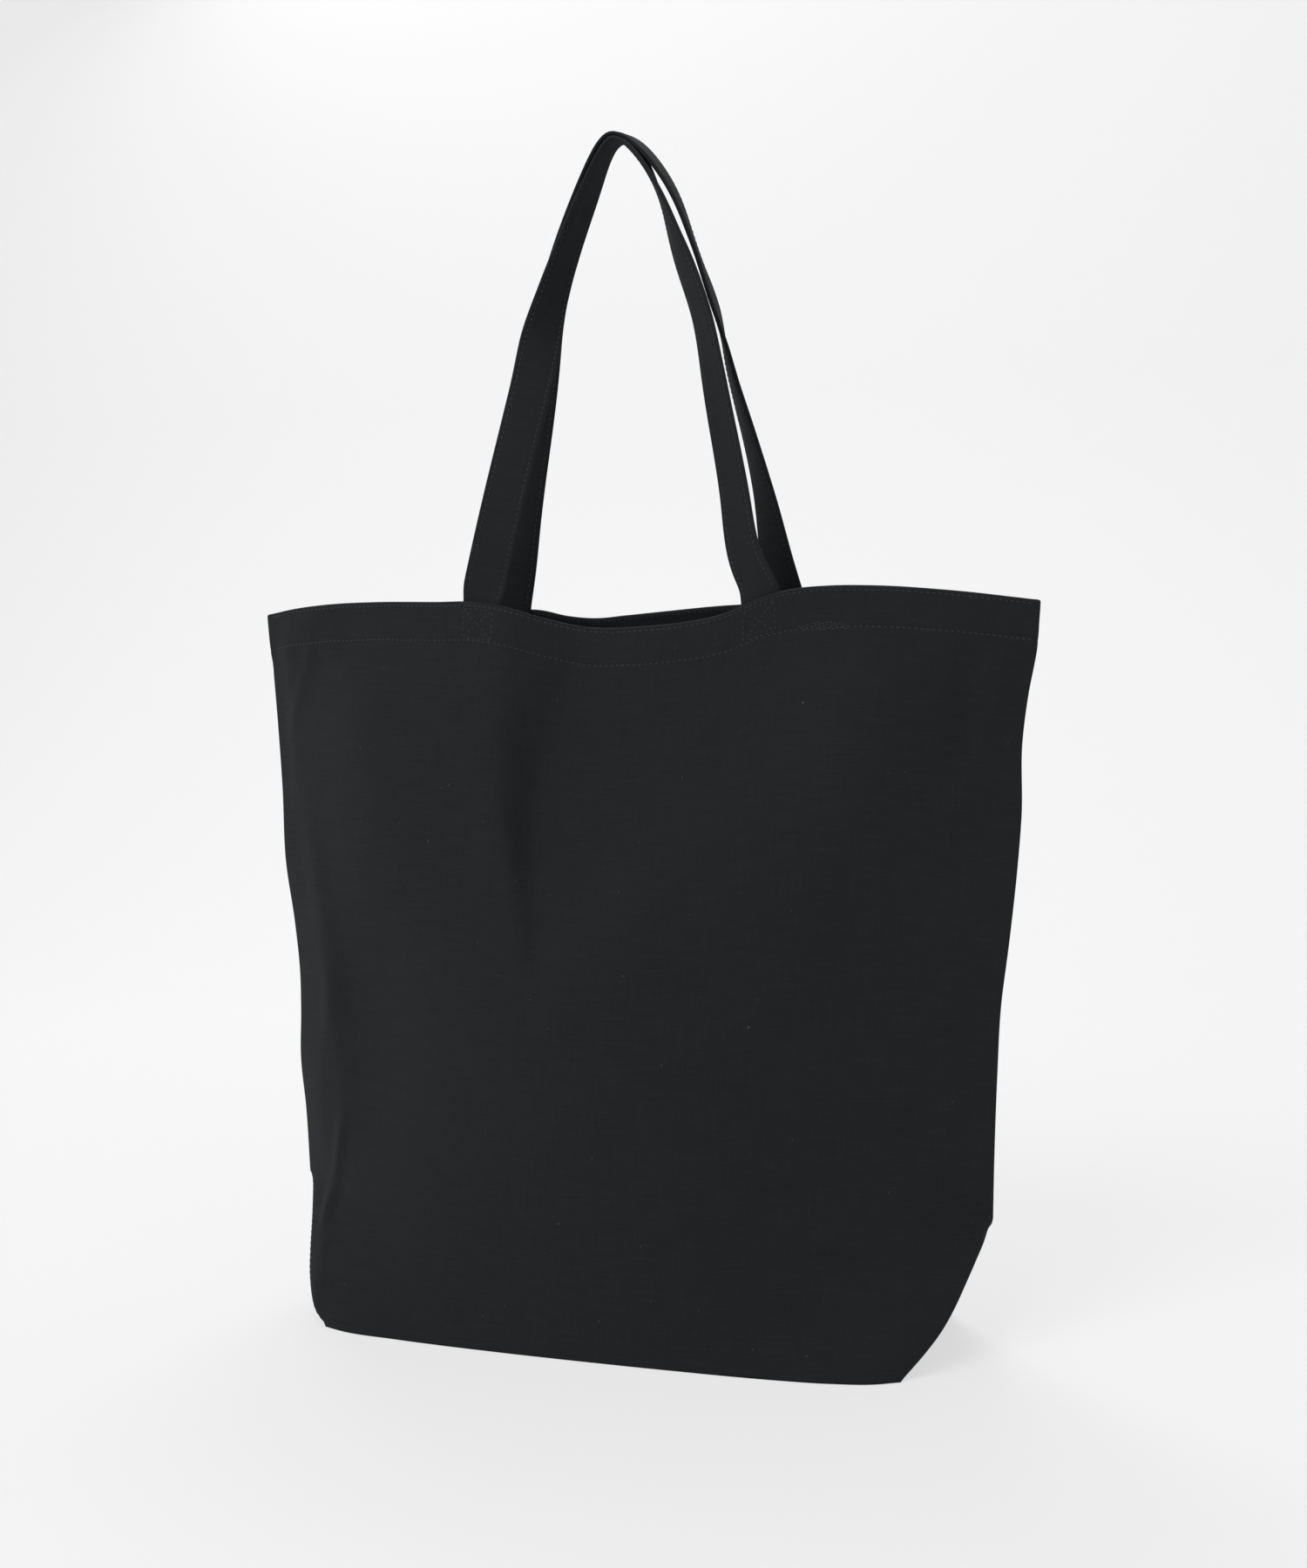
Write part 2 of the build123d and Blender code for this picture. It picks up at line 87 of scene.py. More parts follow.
def along(table, value):
    """Smooth curve through given pairs of place and size."""
    places = np.array([p for p, _ in table], float)
    sizes = np.array([s for _, s in table], float)
    slopes = np.gradient(sizes, places)
    value = np.clip(np.asarray(value, float), places[0], places[-1])
    at = np.clip(np.searchsorted(places, value) - 1, 0, len(places) - 2)
    span = places[at + 1] - places[at]
    t = (value - places[at]) / span
    h00, h10 = 2 * t**3 - 3 * t**2 + 1, t**3 - 2 * t**2 + t
    h01, h11 = 3 * t**2 - 2 * t**3, t**3 - t**2
    return h00 * sizes[at] + h10 * span * slopes[at] + h01 * sizes[at + 1] + h11 * span * slopes[at + 1]


def waves(x, z, size, phase):
    """Gentle uneven swell of cloth, the same each run."""
    a = np.sin(x / size + 1.7 * phase) * np.cos(z / (1.3 * size) + phase)
    b = np.sin((x + 0.6 * z) / (0.7 * size) + 2.3 * phase)
    c = np.cos((0.5 * x - z) / (0.9 * size) - 0.8 * phase)
    return (a + 0.6 * b + 0.6 * c) / 2.2


FADE_IN, FADE_OUT = (-0.15, 0.2), (0.75, 1.15)


def ridge(x, z, start, finish, width, height):
    """Soft raised line between two points, fading at both ends."""
    ax, az = start
    dx, dz = finish[0] - ax, finish[1] - az
    length = math.hypot(dx, dz)
    run = ((x - ax) * dx + (z - az) * dz) / length**2
    off = ((x - ax) * dz - (z - az) * dx) / length
    ends = ramp(*FADE_IN, run) * (1 - ramp(*FADE_OUT, run))
    return height * ends * np.exp(-((off / width) ** 2))


# How far each side seam stands outside the straight line of the CAD model, by height
SEAM_WAVE = {
    LEFT: [
        (75, 7.5), (118, 6.2), (150, 6.6), (180, 3.4), (205, 1.6), (235, 2), (275, 4.4), (320, 2), (360, 1),
        (430, 0.6),
    ],
    RIGHT: [
        (75, -1.0), (110, -2.7), (160, -4.4), (200, -5.0), (235, -3), (280, -1.2), (310, -1), (350, -3.4),
        (378, -1.8), (398, 0.6), (430, 1.2),
    ],
}
# How far the edge of the base swells out between its corners, by share of its half width
BASE_BOW = {
    FRONT: [
        (-1, 0), (-0.92, 6), (-0.7, 11.8), (-0.3, 17.2), (0, 19), (0.3, 19.6), (0.6, 18.6), (0.8, 15), (0.93, 8.4),
        (1, 0),
    ],
    BACK: [(-1, 0), (-0.6, 6), (0, 9), (0.6, 6), (1, 0)],
}
# How far the fold from the base corner to the side seam swells out, by share of its height
FOLD_BOW = {
    FRONT: {
        LEFT: [(0, 0), (0.06, 6.2), (0.13, 9.0), (0.3, 11), (0.5, 9), (0.7, 5.4), (1, 0)],
        RIGHT: [(0, 0), (0.12, 5.0), (0.27, 9.4), (0.45, 10.4), (0.6, 9), (0.75, 7), (0.9, 4), (1, 0)],
    },
    BACK: {
        LEFT: [(0, 0), (0.3, 5), (0.6, 4), (1, 0)],
        RIGHT: [(0, 0), (0.3, 1), (0.6, 1), (1, 0)],
    },
}
# How far the side seam is drawn in between the base and the end of the gusset
GUSSET_TUCK = 5.0
# Rim of each panel above the mouth corners, by distance from the middle
RIM = {
    FRONT: [
        (-240, 0), (-215, 2.4), (-185, 4), (-150, 4), (-105, 2.6), (-78, 1.9), (-58, -1.5), (-38, -7.6), (-15, -13),
        (5, -13.8), (22, -13), (48, -10.5), (70, -5.8), (88, 1.4), (108, 6), (130, 7.6), (155, 7.6), (195, 5),
        (240, 0),
    ],
    BACK: [
        (-240, 0), (-150, 2), (-85, 2.2), (-68, 1.2), (-52, -2.4), (-32, -4.4), (-12, -3), (10, -1.2), (48, 1.8),
        (85, 3), (150, 2.4), (240, 0),
    ],
}
# Recess where the upper part of each panel falls in between its handles. On the front its right wall
# reaches further out than in the CAD source, and its left wall leans as the crease in the photograph.
RECESS_LOW, RECESS_TOP = 225.0, 440.0
RECESS = {FRONT: 22.0, BACK: 9.0}
FOLD_IN = 7.0
FOLD_IN_FROM, FOLD_IN_FULL, FOLD_IN_UNTIL, FOLD_IN_GONE = RECESS_LOW - 15, 310, 330, 420
LEFT_WALL = [(225, -36), (260, -40), (300, -47), (345, -48), (400, -41), (440, -38)]
LEFT_NARROW, LEFT_SPREAD, LEFT_OPENS = 7, 19, (285, 415)
RIGHT_NARROW, RIGHT_SPREAD, RIGHT_OPENS = 40, 8, (340, 430)
RIGHT_WALL_AT, RIGHT_WALL_FAR, FAR_HEIGHT = 82.0, 130.0, 350.0
BACK_WALL_AT, BACK_WALL = 62.0, 52.0
# Folds of each panel: from, to, breadth, height; below zero is a hollow
FOLDS = {
    FRONT: [
        ((-199, 404), (-221, 352), 3.4, 1.7),
        ((222, 400), (208, 320), 7.0, 2.6),
        ((206, 400), (196, 330), 8.0, -2.0),
        ((-217, 428), (-212, 300), 24.0, 4.0),
        ((-206, 300), (-180, 120), 10.0, 2.6),
        ((-188, 215), (-203, 130), 7.0, 1.4),
        ((-182, 122), (-197, 48), 3.4, 3.2),
        ((-197, 75), (-184, 4), 3.2, 2.8),
        ((-20, 232), (150, 372), 26.0, 3.0),
        ((50, 205), (140, 305), 24.0, -2.2),
        ((-115, 66), (0, 79), 3.2, 0.7),
        ((70, 68), (185, 67), 3.2, 0.8),
        ((-44, 318), (-30, 218), 7.0, -2.4),
        ((-112, 392), (-70, 402), 3.0, 0.8),
        ((-108, 380), (-84, 352), 4.0, 0.9),
    ],
    BACK: [
        ((-95, 400), (-160, 190), 20.0, 3.4),
        ((92, 405), (40, 240), 17.0, 3.0),
        ((70, 400), (130, 230), 18.0, -2.6),
        ((205, 330), (176, 100), 15.0, 3.6),
        ((-130, 70), (60, 76), 3.6, 0.9),
    ],
}


def recess(facing, x, z):
    """How far a panel falls in between its handles."""
    depth = RECESS[facing] * ramp(RECESS_LOW, RECESS_TOP, z)
    if facing == BACK:
        return depth * (1 - ramp(BACK_WALL_AT - BACK_WALL, BACK_WALL_AT + BACK_WALL, np.abs(x)))
    depth = depth + FOLD_IN * ramp(FOLD_IN_FROM, FOLD_IN_FULL, z) * (1 - ramp(FOLD_IN_UNTIL, FOLD_IN_GONE, z))
    left = along(LEFT_WALL, z)
    left_half = LEFT_NARROW + LEFT_SPREAD * ramp(*LEFT_OPENS, z)
    right_half = RIGHT_NARROW + RIGHT_SPREAD * ramp(*RIGHT_OPENS, z)
    right = RIGHT_WALL_FAR - (RIGHT_WALL_FAR - RIGHT_WALL_AT) * ((z - FAR_HEIGHT) / (RECESS_TOP - FAR_HEIGHT)) ** 2
    return depth * (ramp(-1, 1, (x - left) / left_half) * (1 - ramp(-1, 1, (x - right) / right_half)))


def relief(facing, x, z):
    """How far a panel stands out of its plain curve."""
    out = -recess(facing, x, z)
    for start, finish, breadth, height in FOLDS[facing]:
        out = out + ridge(x, z, start, finish, breadth, height)
    return out


def seam_y(z):
    above = -KINK_LEAN - (z - KINK) / (HEIGHT - KINK) * (MOUTH_LEAN - KINK_LEAN)
    return np.where(z > KINK, above, -KINK_LEAN * z / KINK)


def seam_half(z, side):
    """Distance of a side seam from the middle."""
    straight = KINK_HALF + (z - KINK) / (HEIGHT - KINK) * (MOUTH_HALF - KINK_HALF)
    upper = straight + along(SEAM_WAVE[side], z)
    share = np.clip(z / KINK, 0, 1)
    kink = KINK_HALF + along(SEAM_WAVE[side], KINK)
    lower = BASE_HALF + (kink - BASE_HALF) * share - GUSSET_TUCK * np.sin(math.pi * share)
    return np.where(z > KINK, upper, lower)


def side_gap(z):
    """Half the thickness of the side seam."""
    hem = HEIGHT - HEM_DEPTH
    return SEAM_SIDE + (HEM_SIDE - SEAM_SIDE) * ramp(hem - HEM_STEP_BELOW, hem + HEM_STEP_ABOVE, z)


def arc(q, half, bulge, side):
    """Point of a shallow arc, q from -1 to 1: distance across and distance out."""
    slope = 2 * np.arctan((bulge - side) / half)
    radius = half / np.sin(slope)
    return half * np.sin(q * slope) / np.sin(slope), bulge - radius * (1 - np.cos(q * slope))


def through_levels(values, z, levels):
    """Smooth curve in z through values at the given levels."""
    total = 0.0
    for i, value in enumerate(values):
        weight = 1.0
        for j, level in enumerate(levels):
            if j != i:
                weight = weight * (z - level) / (levels[i] - level)
        total = total + weight * value
    return total


# The wall follows one smooth curve from base to mouth, which fades out by share of the breadth and by
# height; the bow of the corner fold fades in by share of the breadth
FLOW_ACROSS, FLOW_UP = (0.55, 0.92), (360, 420)
FOLD_REACH = (0.7, 1.0)
# Swell of the cloth: height, size and phase; it calms down at the seams, the foot and the hem
SWELLS = ((1.3, 42.0, 0.4), (0.45, 15.0, 2.0))
SEAM_CALM, FOOT_CALM, HEM_CALM, HEM_CALM_SHARE = (0.9, 1.0), (0, 45), (395, 425), 0.75


def wall(facing, u, z):
    """Outer face of a panel: u is the distance across the flat cloth, z the height before the rim is shaped."""
    side = np.where(u < 0, LEFT, RIGHT)
    half = np.where(u < 0, seam_half(z, LEFT), seam_half(z, RIGHT))
    share = np.clip(z / KINK, 0, 1)
    edge = BASE_HALF + (FLAT_HALF - BASE_HALF) * share
    q = np.clip(u / edge, -1, 1)
    bulge = through_levels(BULGES[facing], np.maximum(z, KINK), LEVELS[1:])
    x_arc, out_arc = arc(q, half, bulge, side_gap(z))
    kink_half = np.where(u < 0, seam_half(KINK, LEFT), seam_half(KINK, RIGHT))
    x_kink, out_kink = arc(q, kink_half, BULGES[facing][0], SEAM_SIDE)
    x_base = BASE_HALF * q
    out_base = BASE_HALF_DEPTH + along(BASE_BOW[facing], q)
    low = z < KINK
    x = np.where(low, x_base + (x_kink - x_base) * share, x_arc)
    out = np.where(low, out_base + (out_kink - out_base) * share, out_arc)
    stations = [out_base, out_kink]
    for level, size in zip(LEVELS[2:], BULGES[facing][1:]):
        level_half = np.where(u < 0, seam_half(level, LEFT), seam_half(level, RIGHT))
        stations.append(arc(q, level_half, size, SEAM_SIDE)[1])
    flowing = through_levels(stations, z, LEVELS)
    blend = (1 - ramp(*FLOW_ACROSS, np.abs(q))) * (1 - ramp(*FLOW_UP, z))
    out = out + (flowing - out) * blend
    folds = FOLD_BOW[facing]
    bow = np.where(u < 0, along(folds[LEFT], share), along(folds[RIGHT], share)) * ramp(*FOLD_REACH, np.abs(q))
    x = x + side * bow
    gusset = np.abs(u) > edge
    down = np.clip((np.abs(u) - edge) / np.maximum(FLAT_HALF - edge, 1e-6), 0, 1)
    fold_out = BASE_HALF_DEPTH + (SEAM_SIDE - BASE_HALF_DEPTH) * share
    x = np.where(gusset, side * (half + bow * (1 - down)), x)
    out = np.where(gusset, fold_out + (SEAM_CLEAR - fold_out) * down, out)
    swell = 0.0
    for height, size, phase in SWELLS:
        swell = swell + height * waves(x, z, size, phase + facing)
    keep = 1 - ramp(*SEAM_CALM, np.abs(u) / FLAT_HALF)
    calm = ramp(*FOOT_CALM, z) * (1 - HEM_CALM_SHARE * ramp(*HEM_CALM, z))
    return x, out + relief(facing, x, z) * keep + swell * keep * calm


def rim(facing, x):
    return HEIGHT + along(RIM[facing], x)


def normals_of(grid):
    """Unit normals of a grid of points, rows by columns."""
    down = np.gradient(grid, axis=0)
    across = np.gradient(grid, axis=1)
    normal = np.cross(across, down)
    return normal / np.maximum(np.linalg.norm(normal, axis=2, keepdims=True), 1e-9)


def even(low, high, step):
    return np.linspace(low, high, int(round((high - low) / step)) + 1)


# Rows by depth below the rim, close together in the hem and at the foot; columns by distance across
HEM_ROWS = [1.65, 2.6, 4.0, 6.0, 9.0, 12.0, 15.0, 18.0, 20.4, 21.8, 22.6, 23.4, 24.8, 27.0]
FOOT_ROWS = [HEIGHT - 3.5, HEIGHT - 1.6, HEIGHT]
DEPTHS = np.concatenate([HEM_ROWS, even(30, HEIGHT - 84, 3.4), even(HEIGHT - 80, HEIGHT - 6, 2.9), FOOT_ROWS])
COLUMN_STEP = 2.8
SEAM_COLUMNS = [246.5, 248.4, 249.4, 250.0]
INNER = even(-BASE_HALF, BASE_HALF, COLUMN_STEP)
OUTER = np.concatenate([even(BASE_HALF + COLUMN_STEP, FLAT_HALF - 6, COLUMN_STEP), SEAM_COLUMNS])
COLUMNS = np.concatenate([-OUTER[::-1], INNER, OUTER])
SOFTEN_TURNS, SOFTEN_SHARE = 3, 0.6
CURL = np.radians([30.0, 60.0, 90.0])
CURL_IN, ALLOWANCE = 1.1, 5.0
TUCK_TURNS = np.radians([45.0, 90.0, 135.0])
RIM_TURNS = np.radians([150.0, 120.0, 90.0, 60.0, 30.0])
TUCK_ROWS, TUCK_BEHIND, TUCK_RADIUS, LEAST_ROOM = 5, 1.5, 0.75, 0.2
TUCK_START, TURN_START = -2 * HEM_DEPTH - 4, -HEM_DEPTH - 3
LEAST_FACING, LEAST_HEM = 0.3, 0.4


class Cloth:
    """One panel with its turned-in hem, its gusset halves and its half of the bottom."""

    def __init__(self, facing):
        self.facing = facing
        flat_z = HEIGHT - DEPTHS
        u, z = np.meshgrid(COLUMNS, flat_z)
        x, out = wall(facing, u, z)
        y = seam_y(z) + facing * out
        lift = z * rim(facing, x) / HEIGHT
        self.grid = np.stack([x, y, lift], axis=2)
        self.soften()
        self.normal = normals_of(self.grid) * self.sign()
        self.pucker()
        self.normal = normals_of(self.grid) * self.sign()

    def sign(self):
        """Makes the normals point out of the bag."""
        middle = normals_of(self.grid)[len(DEPTHS) // 2, len(COLUMNS) // 2]
        return 1.0 if middle[1] * self.facing > 0 else -1.0

    def soften(self):
        """Rounds the folds; the rim, the seams and the foot of the wall stay."""
        grid = self.grid
        for _ in range(SOFTEN_TURNS):
            inner = (grid[:-2, 1:-1] + grid[2:, 1:-1] + grid[1:-1, :-2] + grid[1:-1, 2:]) / 4
            moved = grid.copy()
            moved[1:-1, 1:-1] += SOFTEN_SHARE * (inner - grid[1:-1, 1:-1])
            moved[:len(HEM_ROWS)] = grid[:len(HEM_ROWS)]
            grid = moved
        self.grid = grid

    def pucker(self):
        """Draws the cloth in along the two stitched rows."""
        x = self.grid[:, :, 0]
        depth = np.repeat(DEPTHS[:, None], len(COLUMNS), axis=1)

        def band(middle, breadth):
            return np.exp(-(((depth - middle) / breadth) ** 2))

        tug = 0.24 + 0.14 * np.sin(x / 2.1) + 0.1 * np.sin(x / 5.3 + 1.0)
        loose = band(27, 9.0) * (0.32 * np.sin(x / 6.1 + 0.7) + 0.22 * np.sin(x / 3.3))
        hem = band(12, 6.0) * 0.2 * np.sin(x / 8.3 + 0.4)
        moved = loose + hem - tug * band(LOWER_ROW, 1.3) - 0.6 * tug * band(UPPER_ROW, 1.1)
        self.grid = self.grid + self.normal * moved[:, :, None]

    def at(self, x, depth):
        """Point and normal of the outer face at a distance across and a depth below the rim."""
        row = float(np.interp(depth, DEPTHS, np.arange(len(DEPTHS))))
        low = min(int(row), len(DEPTHS) - 2)
        part = row - low
        line = self.grid[low] * (1 - part) + self.grid[low + 1] * part
        turn = self.normal[low] * (1 - part) + self.normal[low + 1] * part
        place = np.array([np.interp(x, line[:, 0], line[:, k]) for k in range(3)])
        normal = np.array([np.interp(x, line[:, 0], turn[:, k]) for k in range(3)])
        return place, normal / np.linalg.norm(normal)

    def rows(self):
        """All rows of the sheet, from the turned-under edge of the hem to the foot of the wall."""
        hem = int(np.searchsorted(DEPTHS, HEM_DEPTH))
        flat = self.normal.copy()
        flat[:, :, 2] = 0
        flat /= np.maximum(np.linalg.norm(flat, axis=2, keepdims=True), 1e-9)
        gap = np.abs(self.grid[:, :, 1] - seam_y(HEIGHT - DEPTHS)[:, None])
        room = np.minimum(HEM_THICK, gap / np.maximum(np.abs(flat[:, :, 1]), LEAST_FACING) - SEAM_CLEAR)
        room = np.maximum(room, LEAST_HEM)
        sheet, cloth_v = [], []

        def add(points, v):
            sheet.append(points)
            cloth_v.append(v)

        for row in range(hem - TUCK_ROWS, hem):
            under = (room[row] - TUCK_BEHIND)[:, None]
            add(self.grid[row] - flat[row] * np.maximum(under, LEAST_ROOM), TUCK_START + DEPTHS[row])
        last = hem - 1
        middle = (room[last] - TUCK_RADIUS)[:, None]
        for turn in TUCK_TURNS:
            reach = np.maximum(middle - TUCK_RADIUS * math.cos(turn), LEAST_ROOM)
            point = self.grid[last] - flat[last] * reach - np.array([0, 0, TUCK_RADIUS * math.sin(turn)])
            add(point, TURN_START + 2 * turn / math.pi)
        for row in reversed(range(hem)):
            add(self.grid[row] - flat[row] * room[row][:, None], -DEPTHS[row])
        reach = room[0][:, None] / 2
        for turn in RIM_TURNS:
            point = self.grid[0] - flat[0] * reach * (1 - math.cos(turn))
            add(point + np.array([0, 0, 1.0]) * reach * math.sin(turn), math.pi / 2 - turn)
        for row in range(len(DEPTHS)):
            add(self.grid[row], DEPTHS[row])
        return np.array(sheet), np.array(cloth_v)

    def curled(self, sheet):
        """Adds the columns that turn in at the side seams."""
        parts = {}
        for side, column in ((LEFT, 0), (RIGHT, -1)):
            end = sheet[:, column]
            seam = seam_y(np.clip(end[:, 2], 0, HEIGHT))
            gap = (end[:, 1] - seam) * self.facing
            extra = []
            for turn in CURL:
                point = end.copy()
                point[:, 0] = end[:, 0] - side * CURL_IN * (1 - math.cos(turn))
                point[:, 1] = seam + self.facing * (SEAM_CLEAR + (gap - SEAM_CLEAR) * (1 - math.sin(turn)))
                extra.append(point)
            point = extra[-1].copy()
            point[:, 0] -= side * ALLOWANCE
            extra.append(point)
            parts[side] = extra
        left = np.stack(parts[LEFT][::-1], axis=1)
        right = np.stack(parts[RIGHT], axis=1)
        return np.concatenate([left, sheet, right], axis=1)


def mesh_piece(name, points, faces, material, cloth):
    """Makes an object from points in millimetres; cloth is each point's place on the flat cloth or thread."""
    mesh = bpy.data.meshes.new(name)
    mesh.from_pydata((np.asarray(points) * MM).tolist(), [], faces)
    mesh.validate()
    place = mesh.attributes.new("cloth", "FLOAT_VECTOR", "POINT")
    place.data.foreach_set("vector", (np.asarray(cloth, float) * MM).astype(np.float32).ravel())
    mesh.polygons.foreach_set("use_smooth", [True] * len(mesh.polygons))
    piece = bpy.data.objects.new(name, mesh)
    bpy.context.scene.collection.objects.link(piece)
    mesh.materials.append(material)
    return piece


def thicken(piece, thickness):
    """Gives a sheet its thickness, inwards, and applies it."""
    modifier = piece.modifiers.new("thickness", "SOLIDIFY")
    modifier.thickness = thickness * MM
    modifier.offset = -1.0
    modifier.use_even_offset = False
    depsgraph = bpy.context.evaluated_depsgraph_get()
    mesh = bpy.data.meshes.new_from_object(piece.evaluated_get(depsgraph))
    piece.modifiers.clear()
    piece.data = mesh
    mesh.polygons.foreach_set("use_smooth", [True] * len(mesh.polygons))


def grid_faces(rows, columns, flip):
    faces = []
    for r in range(rows - 1):
        for c in range(columns - 1):
            a = r * columns + c
            quad = (a, a + 1, a + columns + 1, a + columns)
            faces.append(quad[::-1] if flip else quad)
    return faces


BOTTOM_ROWS = np.array([0.02, 0.05, 0.1, 0.18, 0.3, 0.44, 0.58, 0.72, 0.86, 1.0])


def panel_piece(cloth, name, material):
    """Mesh of a whole panel."""
    facing = cloth.facing
    sheet, cloth_v = cloth.rows()
    full = cloth.curled(sheet)
    rows, columns = full.shape[:2]
    extra = len(CURL) + 1
    u = np.concatenate([
        COLUMNS[0] - np.arange(extra, 0, -1),
        COLUMNS,
        COLUMNS[-1] + np.arange(1, extra + 1),
    ])
    points = [full.reshape(-1, 3)]
    coords = [np.stack(np.broadcast_arrays(u[None, :], cloth_v[:, None], 0.0), axis=2).reshape(-1, 3)]
    flip = facing == FRONT
    faces = grid_faces(rows, columns, flip)
    inside = np.where(np.abs(u) <= BASE_HALF + 0.01)[0]
    edge = full[-1, inside]
    start = rows * columns
    count = len(inside)
    last_row = [(rows - 1) * columns + int(c) for c in inside]
    bottom = []
    for share in BOTTOM_ROWS:
        row = edge.copy()
        row[:, 1] = edge[:, 1] + (facing * SEAM_CLEAR - edge[:, 1]) * share
        row[:, 2] = 0.0
        bottom.append(row)
    points.append(np.array(bottom).reshape(-1, 3))
    v = HEIGHT + BOTTOM_ROWS * BASE_HALF_DEPTH
    coords.append(np.stack(np.broadcast_arrays(u[inside][None, :], v[:, None], 0.0), axis=2).reshape(-1, 3))
    previous = last_row
    for r in range(len(BOTTOM_ROWS)):
        current = [start + r * count + c for c in range(count)]
        for c in range(count - 1):
            quad = (previous[c], previous[c + 1], current[c + 1], current[c])
            faces.append(quad[::-1] if flip else quad)
        previous = current
    return mesh_piece(name, np.concatenate(points), faces, material, np.concatenate(coords))


# Straps: how far the middle line of each leg stands from the centre, at these shares of the rise, the top
# of the arch, and how the strap turns about its own line, in degrees by share of the rise
STRAP_SHARES = (0.0, 0.07, 0.2, 0.4, 0.5, 0.6, 0.78, 0.92)
STRAPS = {
    FRONT: {
        "x": {
            LEFT: (-75.5, -72.4, -66.0, -55.0, -49.6, -44.8, -31.4, -17.8),
            RIGHT: (89.0, 81.4, 73.4, 62.4, 56.6, 50.2, 31.8, 16.0),
        },
        "apex": (-4.5, -31.0, 702.6),
        "turn": {
            LEFT: [
                (0, -14), (0.12, -14), (0.25, -12), (0.4, -13), (0.5, -17), (0.55, -27), (0.6, -46), (0.65, -61),
                (0.7, -69), (0.77, -76), (0.9, -86), (1, -98),
            ],
            RIGHT: [
                (0, -20), (0.06, -24), (0.165, -31), (0.26, -36), (0.35, -39), (0.445, -42), (0.54, -47), (0.62, -51),
                (0.73, -55), (0.8, -64), (0.9, -80), (1, -98),
            ],
        },
    },
    BACK: {
        "x": {
            LEFT: (-87.0, -84.2, -78.6, -68.4, -63.2, -57.6, -41.0, -24.4),
            RIGHT: (87.5, 84.2, 78.0, 64.9, 57.8, 52.0, 36.6, 19.6),
        },
        "apex": (-9.0, -25.0, 707.0),
        "turn": {
            LEFT: [
                (0, 4), (0.12, 9), (0.25, 16), (0.45, 30), (0.55, 44), (0.62, 60), (0.7, 70), (0.8, 76), (0.9, 84),
                (1, 98),
            ],
            RIGHT: [
                (0, 6), (0.12, 30), (0.25, 50), (0.45, 66), (0.54, 71.5), (0.59, 79), (0.635, 84), (0.68, 84),
                (0.73, 81), (0.8, 82), (0.88, 88), (1, 98),
            ],
        },
    },
}
STRAP_STEP = 3.0
# The sewn end is held at these depths below the rim and lies as the cloth does at SEWN_FACE; above the rim
# it turns free within HELD_SHARE of the rise
SEWN_END, SEWN_MIDDLE, SEWN_TOP, SEWN_FACE = 24.0, 12.0, 1.0, 10.0
HELD_SHARE = 0.05


def spline(points, step):
    """Natural cubic curve through points, at even steps: places, directions and the distance of each point."""
    points = np.array(points, float)
    count = len(points)
    spans = np.linalg.norm(np.diff(points, axis=0), axis=1)
    knots = np.concatenate([[0], np.cumsum(spans)])
    system = np.eye(count)
    right = np.zeros((count, 3))
    for i in range(1, count - 1):
        system[i, i - 1], system[i, i + 1] = spans[i - 1], spans[i]
        system[i, i] = 2 * (spans[i - 1] + spans[i])
        right[i] = 6 * ((points[i + 1] - points[i]) / spans[i] - (points[i] - points[i - 1]) / spans[i - 1])
    bend = np.linalg.solve(system, right)
    s = np.linspace(0, knots[-1], int(round(knots[-1] / step)) + 1)
    at = np.clip(np.searchsorted(knots, s, side="right") - 1, 0, count - 2)
    h = spans[at][:, None]
    a = (knots[at + 1] - s)[:, None]
    b = (s - knots[at])[:, None]
    p0, p1, m0, m1 = points[at], points[at + 1], bend[at], bend[at + 1]
    places = m0 * a**3 / (6 * h) + m1 * b**3 / (6 * h) + (p0 / h - m0 * h / 6) * a + (p1 / h - m1 * h / 6) * b
    ways = -m0 * a**2 / (2 * h) + m1 * b**2 / (2 * h) - (p0 / h - m0 * h / 6) + (p1 / h - m1 * h / 6)
    return places, ways / np.linalg.norm(ways, axis=1, keepdims=True), knots, s


